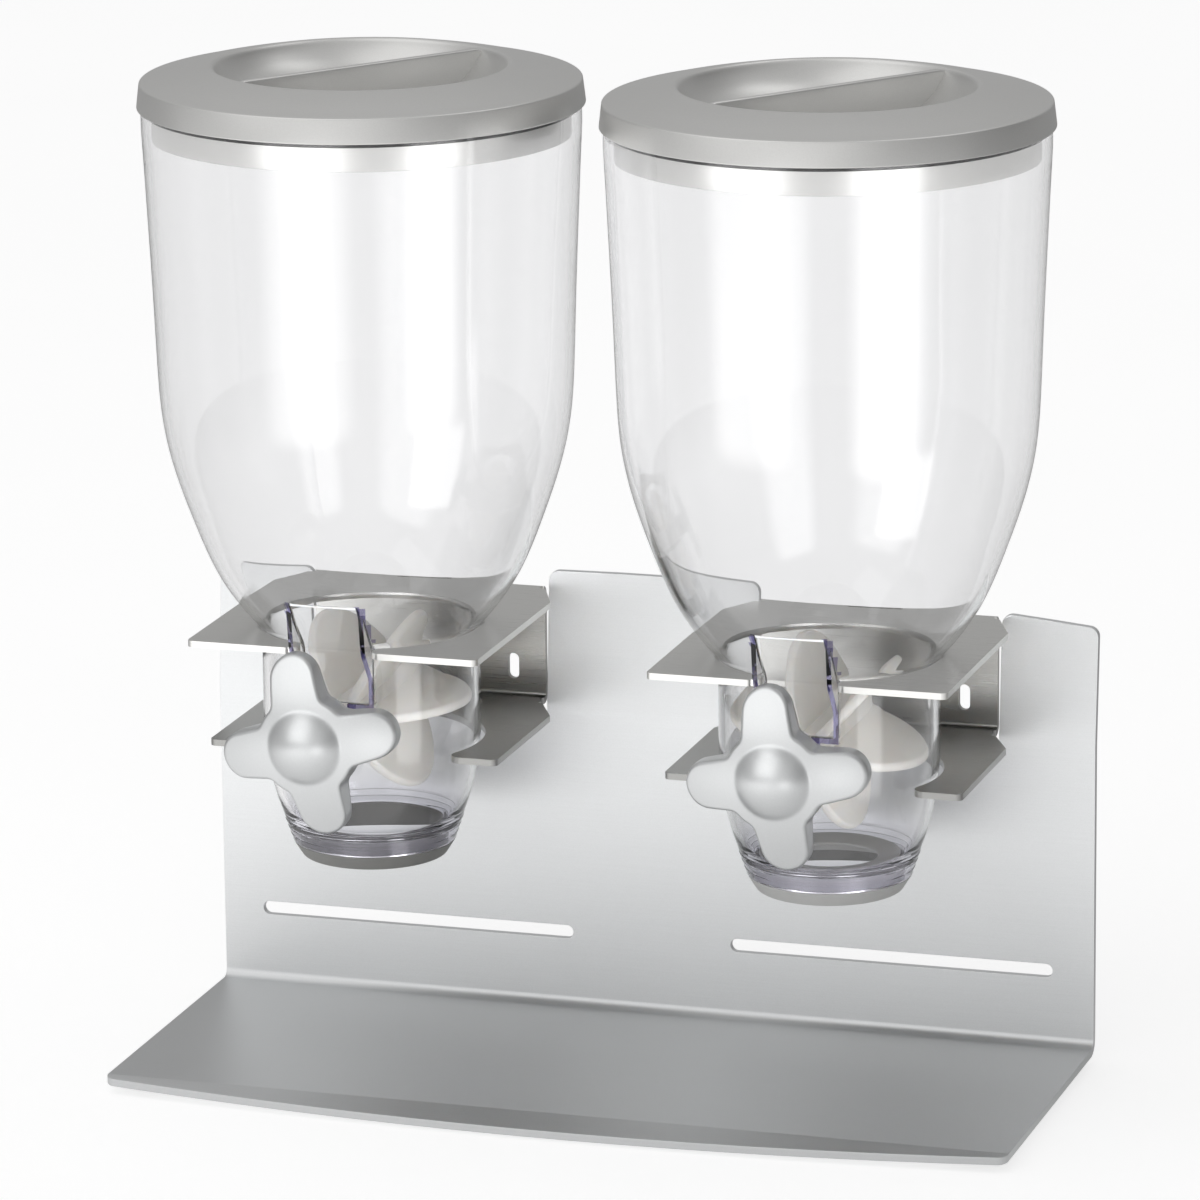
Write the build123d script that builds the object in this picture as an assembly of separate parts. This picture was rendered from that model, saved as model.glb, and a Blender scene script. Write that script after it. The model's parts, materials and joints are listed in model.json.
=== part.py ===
from build123d import *
import math
import os

# Double dry-food dispenser on a folded sheet-metal stand.
# Millimetres. +Z up, the front faces -Y, Z = 0 is the table plane,
# X = 0 is the middle of the stand, and Y = 0 is the plane through both
# dispenser axes. Left is -X.
# The stand, feet and brackets are drawn with Y = 0 on the front face of the back
# panel, the brackets and dispenser parts about X = 0, and save() moves them.

os.makedirs("parts", exist_ok=True)

# ---- stand ----
WIDTH = 360.0
SHEET = 3.0
FOOT_H = 4.0
FOOT_R = 6.5
FOOT_X = 166.0
FOOT_FRONT_Y = -122.0
FOOT_REAR_Y = -14.0
FOOT_FILLET = 1.0
TRAY_TOP = FOOT_H + SHEET
CREASE_Y = -134.0                # straight crease between tray and front lip
CORNER_Y = -137.0                # front corners of the lip
FRONT_Y = -147.2                 # most forward point of the lip
LIP_DEG = 12.0                   # lip bends down
LIP_BLANK = 20.0                 # lip length before its front edge is cut
BEND_R = 3.5                     # inner radius of the tray to panel bend
CREASE_Z = TRAY_TOP + 122.5
LEAN_DEG = 5.2                   # upper flanges lean back
FLANGE_BLANK = 62.0              # flange height before the arch is cut
TOP_Z = TRAY_TOP + 176.9         # top of the gentle arch at X = 0
TOP_R = 1800.0                   # radius of the arch
NOTCH_IN = 42.4                  # inner and outer X of each bracket notch
NOTCH_OUT = 141.6
NOTCH_Z = TRAY_TOP + 117.6
NOTCH_RELIEF_R = 1.6
NOTCH_RELIEF_INSET = 1.2
CORNER_R = 4.0                   # outer corners of lip, flanges and ledges
LEDGE_HALF = 36.0
LEDGE_FRONT = -16.0
LEDGE_BEND_R = 2.9
SLOT_X0, SLOT_X1 = 32.6, 163.4   # long slots in the panel
SLOT_Z = TRAY_TOP + 29.9
SLOT_H = 5.4

# ---- brackets ----
AXIS_X = 92.0                    # dispenser axis from the middle
AXIS_Y = -66.4                   # dispenser axis from the panel's front face
BRACKET_T = 2.5
UPPER_TOP = TRAY_TOP + 170.6     # top faces of the two shelves
LOWER_TOP = TRAY_TOP + 125.4
UPPER_FRONT = -113.9
LOWER_FRONT = -91.4
SHELF_HALF = 58.5
TAPER_END_HALF = 50.2            # half width where the shelf taper ends
WEB_HALF = 48.0
WEB_BACK = 6.0
BRACKET_BEND_R = 1.5
SHELF_CORNER_R = 2.5
UPPER_HOLE_R = 43.2
LOWER_HOLE_R = 43.7
GAP_HALF = 15.8                  # front gap of the upper ring shelf
GAP_OUTER_R = 3.2                # rounding of the gap's front and rear corners
GAP_INNER_R = 1.6
LOWER_TIP_R = 4.5
RELIEF_R = 1.8                   # round reliefs where the shelves meet the web
RELIEF_X = WEB_HALF + 0.9
RELIEF_Y = 0.6
WEB_SLOT_X = 34.8
WEB_SLOT_Z = TRAY_TOP + 137.0
WEB_SLOT_L, WEB_SLOT_W = 10.3, 4.6
SLIT_Y = 1.9                     # slit across the upper bend
SLIT_L, SLIT_W = 24.5, 2.4

# ---- canister and gate ----
WALL = 2.5
NECK_R = 42.3
NECK_IN_R = NECK_R - WALL
NECK_BOTTOM = TRAY_TOP + 133.0
NECK_TOP = TRAY_TOP + 169.5
NECK_IN_TOP = TRAY_TOP + 169.8
BORE_R = 27.8                    # outlet bore in the thick bottom rim
TUBE_TOP = TRAY_TOP + 90.5
CAN_BOTTOM = TRAY_TOP + 84.3
RIM_BOTTOM = TRAY_TOP + 366.0
RIM_IN_BOTTOM = TRAY_TOP + 364.5
RIM_TOP = TRAY_TOP + 380.5
RIM_R = 83.9
RIM_IN_R = RIM_R - WALL
CAN_SLOT_HALF = 13.5             # front slot half width
CAN_SLOT_LO = TRAY_TOP + 148.5
CAN_SLOT_HI = TRAY_TOP + 190.5
BAR_BOTTOM = CAN_SLOT_LO - 2.0   # bar below the front slot
BAR_FRONT, BAR_BACK = -42.5, -39.3
FLANGE_T = 1.9
GROOVE_HALF = 0.35
GROOVE_DEPTH = 0.45
SHAFT_Z = TRAY_TOP + 140.4
SHAFT_R = 4.5
PIN_R = 3.0
RUN = 0.05                       # running clearance on a radius
FRONT_BOSS_R = 7.6
REAR_BOSS_R = 6.5
GATE_GAP = 0.1                   # gate clearance in the front slot
GATE_FRONT, GATE_BACK = -41.6, -39.6

# ---- wheel, shaft, knob: Y from the dispenser axis ----
WHEEL_R = 38.6
BLADE_T = 3.6
BLADE_ROOT = 5.0                 # blades start inside the hub
BLADE_FILLET = 1.4
BLADES = 6
HUB_R = 8.0
HUB_HALF = 35.6
HUB_END_CUT_R = 9.5
HEX_AF = 6.4                     # across the flats of the shaft's hexagon
HEX_FRONT, HEX_BACK = -37.0, 35.0
SQUARE = 5.6                     # square front end of the shaft
KNOB_BACK = -67.0                # flat back of the knob
KNOB_CROWN = -80.6               # top of the domed front, before the centre boss
KNOB_SPHERE = 89.0               # radius of the domed front
KNOB_EDGE_R = 1.2
KNOB_HUB_R = 8.6
KNOB_HUB_BACK = -46.8
LOBE_R = 9.1                     # lobe tip radius and its centre from the axis
LOBE_C = 26.4
LOBE_DEG = 6.0                   # each lobe side opens towards the middle
KNOB_CORE_R = 19.4
KNOB_FILLET = 4.5
DOME_R = 14.2                    # centre boss: base radius and front-most point
DOME_TOP = -85.4
# side, sign of X, turn of the blades, turn of the knob
SIDES = (("left", -1, 2.0, 12.3), ("right", 1, 47.0, 8.0))

# ---- lid ----
SKIRT_Z = TRAY_TOP + 373.7
SKIRT_R = 85.5
SKIRT_IN_R = SKIRT_R - 1.3
SHOULDER_R = 84.0
SHOULDER_Z = TRAY_TOP + 383.1
DISH_R = 56.9
DISH_Z = TRAY_TOP + 389.1
DISH_DEPTH = 22.0
DISH_T = 2.0
PLUG_R = 79.9
PLUG_IN_R = PLUG_R - 1.6
PLUG_Z = TRAY_TOP + 362.5
LID_REST = RIM_TOP + 0.02        # underside of the lid above the canister rim
FIN_DEG = 54.0
FIN_T = 2.6
FIN_FILLET = 1.0


def above_tray(points):
    """Turn heights above the tray, second in each pair, into Z."""
    return [(across, height + TRAY_TOP) for across, height in points]


def below_dish(points):
    """Turn (radius, drop below the dish rim) into (radius, Z)."""
    return [(radius, DISH_Z - drop) for radius, drop in points]


# Outer bowl: radius, height above the tray
BOWL = above_tray([
    (43.12, 170.6), (47.9, 176.0), (52.9, 182.6), (57.6, 190.0), (62.3, 199.6),
    (67.9, 214.0), (72.8, 228.1), (76.2, 240.4), (78.6, 254.0), (79.9, 272.1),
    (80.9, 299.8), (82.1, 327.9), (83.2, 352.0),
])
# Outside and inside of the outlet taper: radius, height above the tray
TAPER = above_tray([
    (31.9, 84.3), (32.8, 87.6), (35.9, 96.7), (39.0, 106.5), (41.2, 118.0), (42.2, 130.0),
])
INNER_TAPER = above_tray([
    (28.6, 91.1), (31.0, 93.4), (33.6, 98.0), (36.5, 106.6), (38.7, 118.0), (39.75, 130.0),
])
# Grooves round the outlet end: radius, height above the tray
GROOVES = above_tray([(32.95, 87.6), (33.9, 90.4), (34.85, 93.2)])
# Front flange beside the slot: Y from the axis, Z
FLANGE_SIDE = [
    (-54.2, CAN_SLOT_HI),
    *above_tray([(-51.4, 171.8), (-50.6, 169.6), (-42.7, 158.6)]),
    (BAR_FRONT, BAR_BOTTOM), (-38.4, BAR_BOTTOM),
    *above_tray([(-38.4, 167.6), (-44.4, 176.2), (-49.4, 182.8)]),
    (-53.4, CAN_SLOT_HI),
]
# Lid dish: radius, drop below the dish rim
DISH_TOP = below_dish([(51.0, 7.5), (40.0, 15.0), (22.0, 20.6), (0.0, DISH_DEPTH)])
DISH_UNDERSIDE = below_dish([(22.6, 22.7), (41.2, 16.9), (53.0, 9.2), (57.4, 3.0)])
# Right half of the grip fin: X, drop below the dish rim
FIN_HALF = below_dish([(DISH_R - 1.0, 0.9), (52.4, 8.0), (40.6, 16.0), (22.2, 21.8)])


# ---------------------------------------------------------------- helpers
def save(shape, name, x=0.0, y=0.0):
    solids = (Pos(x, y, 0) * shape).solids()
    body = solids[0] if len(solids) == 1 else Compound(children=list(solids))
    export_step(body, os.path.join("parts", name + ".step"))


def yz_prism(points, x0, x1):
    """Closed (y, z) outline extruded from x0 to x1."""
    wire = Polyline(*[(x0, y, z) for y, z in points], close=True)
    return extrude(make_face(wire), amount=x1 - x0, dir=(1, 0, 0))


def xz_prism(points, y0, y1):
    """Closed (x, z) outline extruded from y0 to y1."""
    wire = Polyline(*[(x, y0, z) for x, z in points], close=True)
    return extrude(make_face(wire), amount=y1 - y0, dir=(0, 1, 0))


def box(x0, x1, y0, y1, z0, z1):
    return Pos((x0 + x1) / 2, (y0 + y1) / 2, (z0 + z1) / 2) * Box(x1 - x0, y1 - y0, z1 - z0)


def rod(y0, y1, radius, x=0.0, z=SHAFT_Z):
    """Round bar along Y."""
    return Pos(x, (y0 + y1) / 2, z) * Rot(90, 0, 0) * Cylinder(radius, y1 - y0)


def hex_bar(y0, y1, across_flats):
    """Hexagonal bar along the shaft line."""
    hexagon = RegularPolygon(across_flats / 2, 6, major_radius=False)
    return Pos(0, y1, SHAFT_Z) * Rot(90, 0, 0) * extrude(hexagon, amount=y1 - y0)


def panel_slot(x, z, length, width, vertical=False):
    """Obround cutter along Y, through the panel or the bracket web."""
    shape = SlotOverall(length, width)
    if vertical:
        shape = Rot(0, 0, 90) * shape
    return Pos(x, -20, z) * Rot(90, 0, 0) * extrude(shape, amount=40, both=True)


def ring(z0, z1, inner_r, outer_r):
    height = z1 - z0
    return Pos(0, 0, (z0 + z1) / 2) * (Cylinder(outer_r, height) - Cylinder(inner_r, height))


def revolve_outline(points):
    """Closed straight-sided (r, z) outline turned about Z."""
    wire = Polyline(*[(r, 0, z) for r, z in points], close=True)
    return revolve(make_face(wire), Axis.Z)


def revolve_runs(runs):
    """Closed (r, z) outline turned about Z.

    Each run continues from the end of the one before: a line to one point,
    or a spline through several.
    """
    curves = []
    last = runs[-1][-1]
    for run in runs:
        points = [(r, 0, z) for r, z in [last, *run]]
        curves.append(Line(*points) if len(points) == 2 else Spline(*points))
        last = run[-1]
    return revolve(make_face(Curve() + curves), Axis.Z)


def mirrored(points):
    """Points mirrored in X, in reverse order, to close a symmetric outline."""
    return [(-x, other) for x, other in reversed(points)]


def fillet_bend(body, y, z, radius, x=0.0):
    """Fillet the edge along X nearest the given point."""
    edge = body.edges().filter_by(Axis.X).sort_by_distance(Vector(x, y, z))[0]
    return fillet(edge, radius)


# ------------------------------------------------------------------ stand
def folded_sheet():
    """Lip, tray, panel and leaning flange at full width."""
    lip = math.radians(LIP_DEG)
    lean = math.radians(LEAN_DEG)
    lip_y = CREASE_Y - LIP_BLANK * math.cos(lip)
    lip_z = TRAY_TOP - LIP_BLANK * math.sin(lip)
    top_y = FLANGE_BLANK * math.tan(lean)
    top_z = CREASE_Z + FLANGE_BLANK
    sheet = yz_prism([
        (lip_y, lip_z),
        (CREASE_Y, TRAY_TOP),
        (0.0, TRAY_TOP),
        (0.0, CREASE_Z),
        (top_y, top_z),
        (top_y + SHEET * math.cos(lean), top_z - SHEET * math.sin(lean)),
        (SHEET, CREASE_Z - SHEET * math.tan(lean / 2)),
        (SHEET, FOOT_H),
        (CREASE_Y + SHEET * math.tan(lip / 2), FOOT_H),
        (lip_y + SHEET * math.sin(lip), lip_z - SHEET * math.cos(lip)),
    ], -WIDTH / 2, WIDTH / 2)
    sheet = fillet_bend(sheet, 0, TRAY_TOP, BEND_R)
    return fillet_bend(sheet, SHEET, FOOT_H, BEND_R + SHEET)


def plan_cutter():
    """Bowed front edge with rounded corners, seen from above."""
    bow = CORNER_Y - FRONT_Y
    bow_r = ((WIDTH / 2) ** 2 + bow ** 2) / (2 * bow)
    plan = Pos(0, FRONT_Y + bow_r) * Circle(bow_r)
    plan = plan & (Pos(0, -70) * Rectangle(WIDTH, 200))
    plan = fillet(plan.vertices().group_by(Axis.Y)[0], CORNER_R)
    return Pos(0, 0, -20) * extrude(plan, amount=260)


def front_cutter():
    """Front view: full-width sheet below, three arched flanges above."""
    half = WIDTH / 2
    arch = Pos(0, TOP_Z - TOP_R) * Circle(TOP_R)
    view = Pos(0, NOTCH_Z / 2 - 10) * Rectangle(WIDTH, NOTCH_Z + 20)
    for x0, x1 in ((-half, -NOTCH_OUT), (-NOTCH_IN, NOTCH_IN), (NOTCH_OUT, half)):
        flange = Pos((x0 + x1) / 2, 150) * Rectangle(x1 - x0, 90)
        flange = flange & arch
        tops = [v for v in flange.vertices() if v.Y > CREASE_Z + 20]
        view = view + fillet(tops, CORNER_R)
    return extrude(Rot(90, 0, 0) * view, amount=200, both=True)


def make_ledge(x):
    """Ledge bent forward from the panel under a bracket's lower shelf."""
    top = LOWER_TOP - BRACKET_T
    ledge = yz_prism([
        (0, NOTCH_Z - 3), (0, top - SHEET), (LEDGE_FRONT, top - SHEET),
        (LEDGE_FRONT, top), (SHEET, top), (SHEET, NOTCH_Z - 3),
    ], x - LEDGE_HALF, x + LEDGE_HALF)
    ledge = fillet_bend(ledge, SHEET, top, LEDGE_BEND_R, x)
    return fillet(ledge.edges().filter_by(Axis.Z).group_by(Axis.Y)[0], CORNER_R)


def make_stand():
    sheet = folded_sheet() & plan_cutter()
    sheet = sheet & front_cutter()
    # Round reliefs at the bottom corners of the notches
    for side in (-1, 1):
        for x in (NOTCH_IN + NOTCH_RELIEF_INSET, NOTCH_OUT - NOTCH_RELIEF_INSET):
            sheet = sheet - rod(-10, 10, NOTCH_RELIEF_R, x=side * x, z=NOTCH_Z)
    for side in (-1, 1):
        sheet = sheet + make_ledge(side * AXIS_X)
    for side in (-1, 1):
        x = side * (SLOT_X0 + SLOT_X1) / 2
        sheet = sheet - panel_slot(x, SLOT_Z, SLOT_X1 - SLOT_X0, SLOT_H)
    return sheet


def make_foot():
    foot = Pos(0, 0, FOOT_H / 2) * Cylinder(FOOT_R, FOOT_H)
    return fillet(foot.edges().group_by(Axis.Z)[0], FOOT_FILLET)


# ---------------------------------------------------------------- bracket
def shelf_blank(taper_y, neck_y, front):
    """Plan of a shelf: straight sides, then a taper back to the web's width."""
    right = [
        (SHELF_HALF, front), (SHELF_HALF, taper_y), (TAPER_END_HALF, neck_y),
        (WEB_HALF + 0.2, neck_y + 0.4), (WEB_HALF, 20),
    ]
    wire = Polyline(*[(x, y, 0) for x, y in right + mirrored(right)], close=True)
    plan = make_face(wire)
    return fillet(plan.vertices().group_by(Axis.Y)[0], SHELF_CORNER_R)


def web_reliefs(plan, y):
    for side in (-1, 1):
        plan = plan - Pos(side * RELIEF_X, y) * Circle(RELIEF_R)
    return plan


def upper_shelf_plan():
    """Ring shelf with a gap at the front."""
    def gap_corners():
        return [v for v in plan.vertices()
                if v.Y < AXIS_Y and abs(abs(v.X) - GAP_HALF) < 0.2]

    plan = shelf_blank(-21.4, -1.9, UPPER_FRONT)
    plan = plan - Pos(0, AXIS_Y) * Circle(UPPER_HOLE_R)
    plan = plan - Pos(0, UPPER_FRONT) * Rectangle(2 * GAP_HALF, 60)
    plan = fillet([v for v in gap_corners() if v.Y < UPPER_FRONT + 1], GAP_OUTER_R)
    plan = fillet([v for v in gap_corners() if v.Y > UPPER_FRONT + 4], GAP_INNER_R)
    return web_reliefs(plan, RELIEF_Y)


def lower_shelf_plan():
    """Shelf whose hole opens through the front edge."""
    plan = shelf_blank(-23.9, -7.4, LOWER_FRONT)
    plan = plan - Pos(0, AXIS_Y) * Circle(LOWER_HOLE_R)
    tips = [v for v in plan.vertices() if v.Y < LOWER_FRONT + 0.5 and abs(v.X) < 45]
    return web_reliefs(fillet(tips, LOWER_TIP_R), -RELIEF_Y)


def make_bracket():
    thick = BRACKET_T
    web_front = WEB_BACK - thick
    body = yz_prism([
        (UPPER_FRONT, UPPER_TOP), (WEB_BACK, UPPER_TOP),
        (WEB_BACK, LOWER_TOP - thick), (LOWER_FRONT, LOWER_TOP - thick),
        (LOWER_FRONT, LOWER_TOP), (web_front, LOWER_TOP),
        (web_front, UPPER_TOP - thick), (UPPER_FRONT, UPPER_TOP - thick),
    ], -SHELF_HALF, SHELF_HALF)
    for y, z, radius in (
        (WEB_BACK, UPPER_TOP, BRACKET_BEND_R + thick),
        (WEB_BACK, LOWER_TOP - thick, BRACKET_BEND_R + thick),
        (web_front, LOWER_TOP, BRACKET_BEND_R),
        (web_front, UPPER_TOP - thick, BRACKET_BEND_R),
    ):
        body = fillet_bend(body, y, z, radius)

    # Each plan trims its own half of the height.
    middle = (LOWER_TOP + UPPER_TOP) / 2
    upper = Pos(0, 0, middle) * extrude(upper_shelf_plan(), amount=60)
    lower = Pos(0, 0, middle - 60) * extrude(lower_shelf_plan(), amount=60)
    body = body & (upper + lower)

    for side in (-1, 1):
        body = body - panel_slot(side * WEB_SLOT_X, WEB_SLOT_Z, WEB_SLOT_L, WEB_SLOT_W,
                                 vertical=True)
    slit = extrude(SlotOverall(SLIT_L, SLIT_W), amount=6, both=True)
    return body - Pos(0, SLIT_Y, UPPER_TOP) * slit


# --------------------------------------------------------------- canister
def offset_in(points, distance):
    """Points moved towards the axis along the curve's normal."""
    moved = []
    for i, (r, z) in enumerate(points):
        r0, z0 = points[max(i - 1, 0)]
        r1, z1 = points[min(i + 1, len(points) - 1)]
        length = math.hypot(r1 - r0, z1 - z0)
        moved.append((r - distance * (z1 - z0) / length, z + distance * (r1 - r0) / length))
    return moved


def canister_shell():
    inner_bowl = offset_in(BOWL, WALL)
    return revolve_runs([
        # outside, upwards
        TAPER[1:],
        [(NECK_R, NECK_BOTTOM)],
        [(NECK_R, NECK_TOP)],
        [BOWL[0]],
        BOWL[1:],
        [(RIM_R, RIM_BOTTOM)],
        [(RIM_R, RIM_TOP)],
        # inside, downwards
        [(RIM_IN_R, RIM_TOP)],
        [(RIM_IN_R, RIM_IN_BOTTOM)],
        [inner_bowl[-1]],
        inner_bowl[-2::-1],
        [(NECK_IN_R, NECK_IN_TOP)],
        [(NECK_IN_R, NECK_BOTTOM)],
        [INNER_TAPER[-1]],
        INNER_TAPER[-2::-1],
        [(BORE_R, TUBE_TOP)],
        [(BORE_R, CAN_BOTTOM)],
        [TAPER[0]],
    ])


def make_canister():
    body = canister_shell()
    for radius, z in GROOVES:
        body = body - ring(z - GROOVE_HALF, z + GROOVE_HALF, radius - GROOVE_DEPTH, radius + 2)

    # Front slot, its side flanges and bottom bar
    half = CAN_SLOT_HALF
    body = body - box(-half, half, -75, -30, CAN_SLOT_LO, CAN_SLOT_HI)
    for x0, x1 in ((-half - FLANGE_T, -half), (half, half + FLANGE_T)):
        body = body + yz_prism(FLANGE_SIDE, x0, x1)
    body = body + box(-half, half, BAR_FRONT, BAR_BACK, BAR_BOTTOM, CAN_SLOT_LO)

    # Front bearing boss, cut flat on top, with a notch open upwards
    boss = rod(-45.6, -39.4, FRONT_BOSS_R)
    body = body + (boss - box(-20, 20, -60, -30, BAR_BOTTOM, CAN_SLOT_LO + 30))
    bearing_r = SHAFT_R + RUN
    body = body - rod(-60, -30, bearing_r)
    body = body - box(-bearing_r, bearing_r, -60, -30, SHAFT_Z, CAN_SLOT_LO + 1)

    # Rear blind bearing
    body = body + rod(36.6, 41.2, REAR_BOSS_R)
    return body - rod(30, 40.6, PIN_R + RUN)


def make_gate():
    """Plate closing the front slot, with a tab that reaches down to the shaft."""
    bottom = CAN_SLOT_LO + GATE_GAP
    top = CAN_SLOT_HI - GATE_GAP
    half = CAN_SLOT_HALF - GATE_GAP
    body = yz_prism([
        (GATE_FRONT, bottom), (GATE_FRONT, TRAY_TOP + 168.2), (-55.4, top),
        (-53.2, top), (GATE_BACK, TRAY_TOP + 168.8), (GATE_BACK, bottom),
    ], -half, half)
    tab = box(-SHAFT_R, SHAFT_R, GATE_FRONT, GATE_BACK, SHAFT_Z, bottom + 0.5)
    return body + tab - rod(-60, -30, SHAFT_R + RUN)


# -------------------------------------------------------------------- lid
def make_lid():
    dish_bottom = DISH_Z - DISH_DEPTH
    body = revolve_runs([
        # skirt and shoulder
        [(SKIRT_R, SKIRT_Z)],
        [(SHOULDER_R + 0.2, SHOULDER_Z - 1.6)],
        [(SHOULDER_R - 0.5, SHOULDER_Z - 0.3), (SHOULDER_R - 2.2, SHOULDER_Z + 0.3)],
        # dish rim, dish and its underside
        [(DISH_R + 1.6, DISH_Z - 0.3)],
        [(DISH_R, DISH_Z), (DISH_R - 1.4, DISH_Z - 0.9)],
        DISH_TOP,
        [(0.0, dish_bottom - DISH_T)],
        DISH_UNDERSIDE,
        # plug, then the inside of the skirt
        [(PLUG_IN_R, LID_REST + 1.4)],
        [(PLUG_IN_R, PLUG_Z)],
        [(PLUG_R, PLUG_Z)],
        [(PLUG_R, LID_REST)],
        [(SKIRT_IN_R, LID_REST)],
        [(SKIRT_IN_R, SKIRT_Z)],
    ])
    # Grip fin across the dish, its top edge just below the dish rim
    outline = FIN_HALF + [(0, dish_bottom - 1.0)] + mirrored(FIN_HALF)
    fin = xz_prism(outline, -FIN_T / 2, FIN_T / 2)
    fin = fillet(fin.edges().filter_by(Axis.X).group_by(Axis.Z)[-1], FIN_FILLET)
    return body + Rot(0, 0, FIN_DEG) * fin


def make_seal():
    """Ring round the plug with a thin lip out to the canister rim."""
    inner_r = PLUG_R + 0.01
    body = ring(TRAY_TOP + 371.9, TRAY_TOP + 373.4, inner_r, RIM_IN_R - RUN)
    return body + ring(TRAY_TOP + 372.3, TRAY_TOP + 372.9, inner_r, RIM_IN_R - 0.01)


# ------------------------------------------------------ wheel, shaft, knob
def make_wheel(turn):
    body = rod(-HUB_HALF, HUB_HALF, HUB_R)
    # The half discs start inside the hub, so they meet the hub and not each other.
    half_disc = Circle(WHEEL_R) & (Pos(BLADE_ROOT + 50, 0) * Rectangle(100, 200))
    for k in range(BLADES):
        blade = extrude(half_disc, amount=BLADE_T / 2, both=True)
        rims = [e for e in blade.edges() if e.geom_type == GeomType.CIRCLE]
        blade = fillet(rims, BLADE_FILLET)
        blade = Rot(0, -(turn + 360.0 / BLADES * k), 0) * blade
        body = body + Pos(0, 0, SHAFT_Z) * blade
    # Clear the blades beyond both hub ends.
    body = body - (rod(HUB_HALF, 60, HUB_END_CUT_R) + rod(-60, -HUB_HALF, HUB_END_CUT_R))
    return body - hex_bar(-50, 50, HEX_AF + 0.04)


def make_shaft():
    """Round front, hexagon through the wheel, rear pin and square front end."""
    body = rod(-66.0, HEX_FRONT, SHAFT_R) + hex_bar(HEX_FRONT, HEX_BACK, HEX_AF)
    body = body + rod(HEX_BACK, 40.2, PIN_R)
    return body + Pos(0, -70.5, SHAFT_Z) * Box(SQUARE, 9.0, SQUARE)


def quarter_turned(points, turns):
    cos, sin = ((1, 0), (0, 1), (-1, 0), (0, -1))[turns]
    return [(x * cos - y * sin, x * sin + y * cos) for x, y in points]


def knob_face():
    """Four round-tipped lobes opening towards a round core, with filleted corners."""
    # Unit normal of the +Y side of the +X lobe, and that side's distance from the axis
    opening = math.radians(LOBE_DEG)
    nx, ny = math.sin(opening), math.cos(opening)
    side_dist = LOBE_C * nx + LOBE_R
    # Centre of the fillet between that side and the core
    centre_r = KNOB_CORE_R + KNOB_FILLET
    angle = math.pi / 2 - opening - math.acos((side_dist + KNOB_FILLET) / centre_r)
    ux, uy = math.cos(angle), math.sin(angle)
    fx, fy = centre_r * ux, centre_r * uy
    mid = math.atan2(-(ny + uy), -(nx + ux))

    tip_end = (LOBE_C + LOBE_R * nx, LOBE_R * ny)
    fillet_start = (fx - KNOB_FILLET * nx, fy - KNOB_FILLET * ny)
    fillet_mid = (fx + KNOB_FILLET * math.cos(mid), fy + KNOB_FILLET * math.sin(mid))
    fillet_end = (KNOB_CORE_R * ux, KNOB_CORE_R * uy)
    core_mid = (KNOB_CORE_R * math.sqrt(0.5), KNOB_CORE_R * math.sqrt(0.5))
    # One quarter: lobe tip, its side, fillet, core, then the same mirrored at 45 degrees
    rising = [tip_end, fillet_start, fillet_mid, fillet_end]
    falling = [(y, x) for x, y in reversed(rising)]
    quarter = [(tip_end[0], -tip_end[1]), (LOBE_C + LOBE_R, 0), *rising, core_mid, *falling]
    curves = []
    for k in range(4):
        p = quarter_turned(quarter, k)
        curves += [
            ThreePointArc(*p[0:3]),
            Line(*p[2:4]),
            ThreePointArc(*p[3:6]),
            ThreePointArc(*p[5:8]),
            ThreePointArc(*p[7:10]),
            Line(*p[9:11]),
        ]
    return make_face(Wire(curves))


def make_knob(turn):
    # Drawn with +Z towards the front and Z = 0 on the flat back
    body = extrude(knob_face(), amount=22)
    crown = KNOB_BACK - KNOB_CROWN
    body = body & (Pos(0, 0, crown - KNOB_SPHERE) * Sphere(KNOB_SPHERE))
    body = fillet([e for e in body.edges() if e.center().Z > 3.0], KNOB_EDGE_R)

    # Centre boss: a spherical cap on the domed front
    base = crown - (KNOB_SPHERE - math.sqrt(KNOB_SPHERE ** 2 - DOME_R ** 2))
    height = KNOB_BACK - DOME_TOP - base
    cap_r = (DOME_R ** 2 + height ** 2) / (2 * height)
    dome = Pos(0, 0, base + height - cap_r) * Sphere(cap_r)
    dome = dome & (Pos(0, 0, base + 6.0) * Cylinder(DOME_R + 1.0, 14))
    body = body + dome

    body = Rot(90, 0, 0) * (Rot(0, 0, turn) * body)
    body = Pos(0, KNOB_BACK, SHAFT_Z) * body
    # Rear hub, bored for the shaft and its square end
    body = body + rod(-68.0, KNOB_HUB_BACK, KNOB_HUB_R)
    body = body - rod(-66.1, -40, SHAFT_R + 0.02)
    return body - Pos(0, -70.35, SHAFT_Z) * Box(SQUARE + 0.04, 9.5, SQUARE + 0.04)


# ----------------------------------------------------------------- outlet
def make_collar():
    top = CAN_BOTTOM - 0.02
    return revolve_outline([
        *above_tray([(26.2, 78.3), (28.2, 78.3), (28.9, 78.9)]),
        (31.7, top - 0.4), (31.5, top), (27.75, top),
        *above_tray([(27.75, 90.2), (26.2, 90.2)]),
    ])


def make_reducer():
    return revolve_outline(above_tray([
        (26.14, 85.0), (26.14, 90.22), (27.7, 90.22), (27.7, 91.4), (27.2, 92.0),
        (19.0, 90.2), (18.6, 89.4), (19.0, 88.8), (24.6, 89.6), (24.6, 85.0),
    ]))


# ------------------------------------------------------------------ build
save(make_stand(), "stand_panel", y=-AXIS_Y)

for row, foot_y in (("front", FOOT_FRONT_Y), ("rear", FOOT_REAR_Y)):
    for side, foot_x in (("left", -FOOT_X), ("right", FOOT_X)):
        save(make_foot(), f"foot_{row}_{side}", foot_x, foot_y - AXIS_Y)

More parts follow.
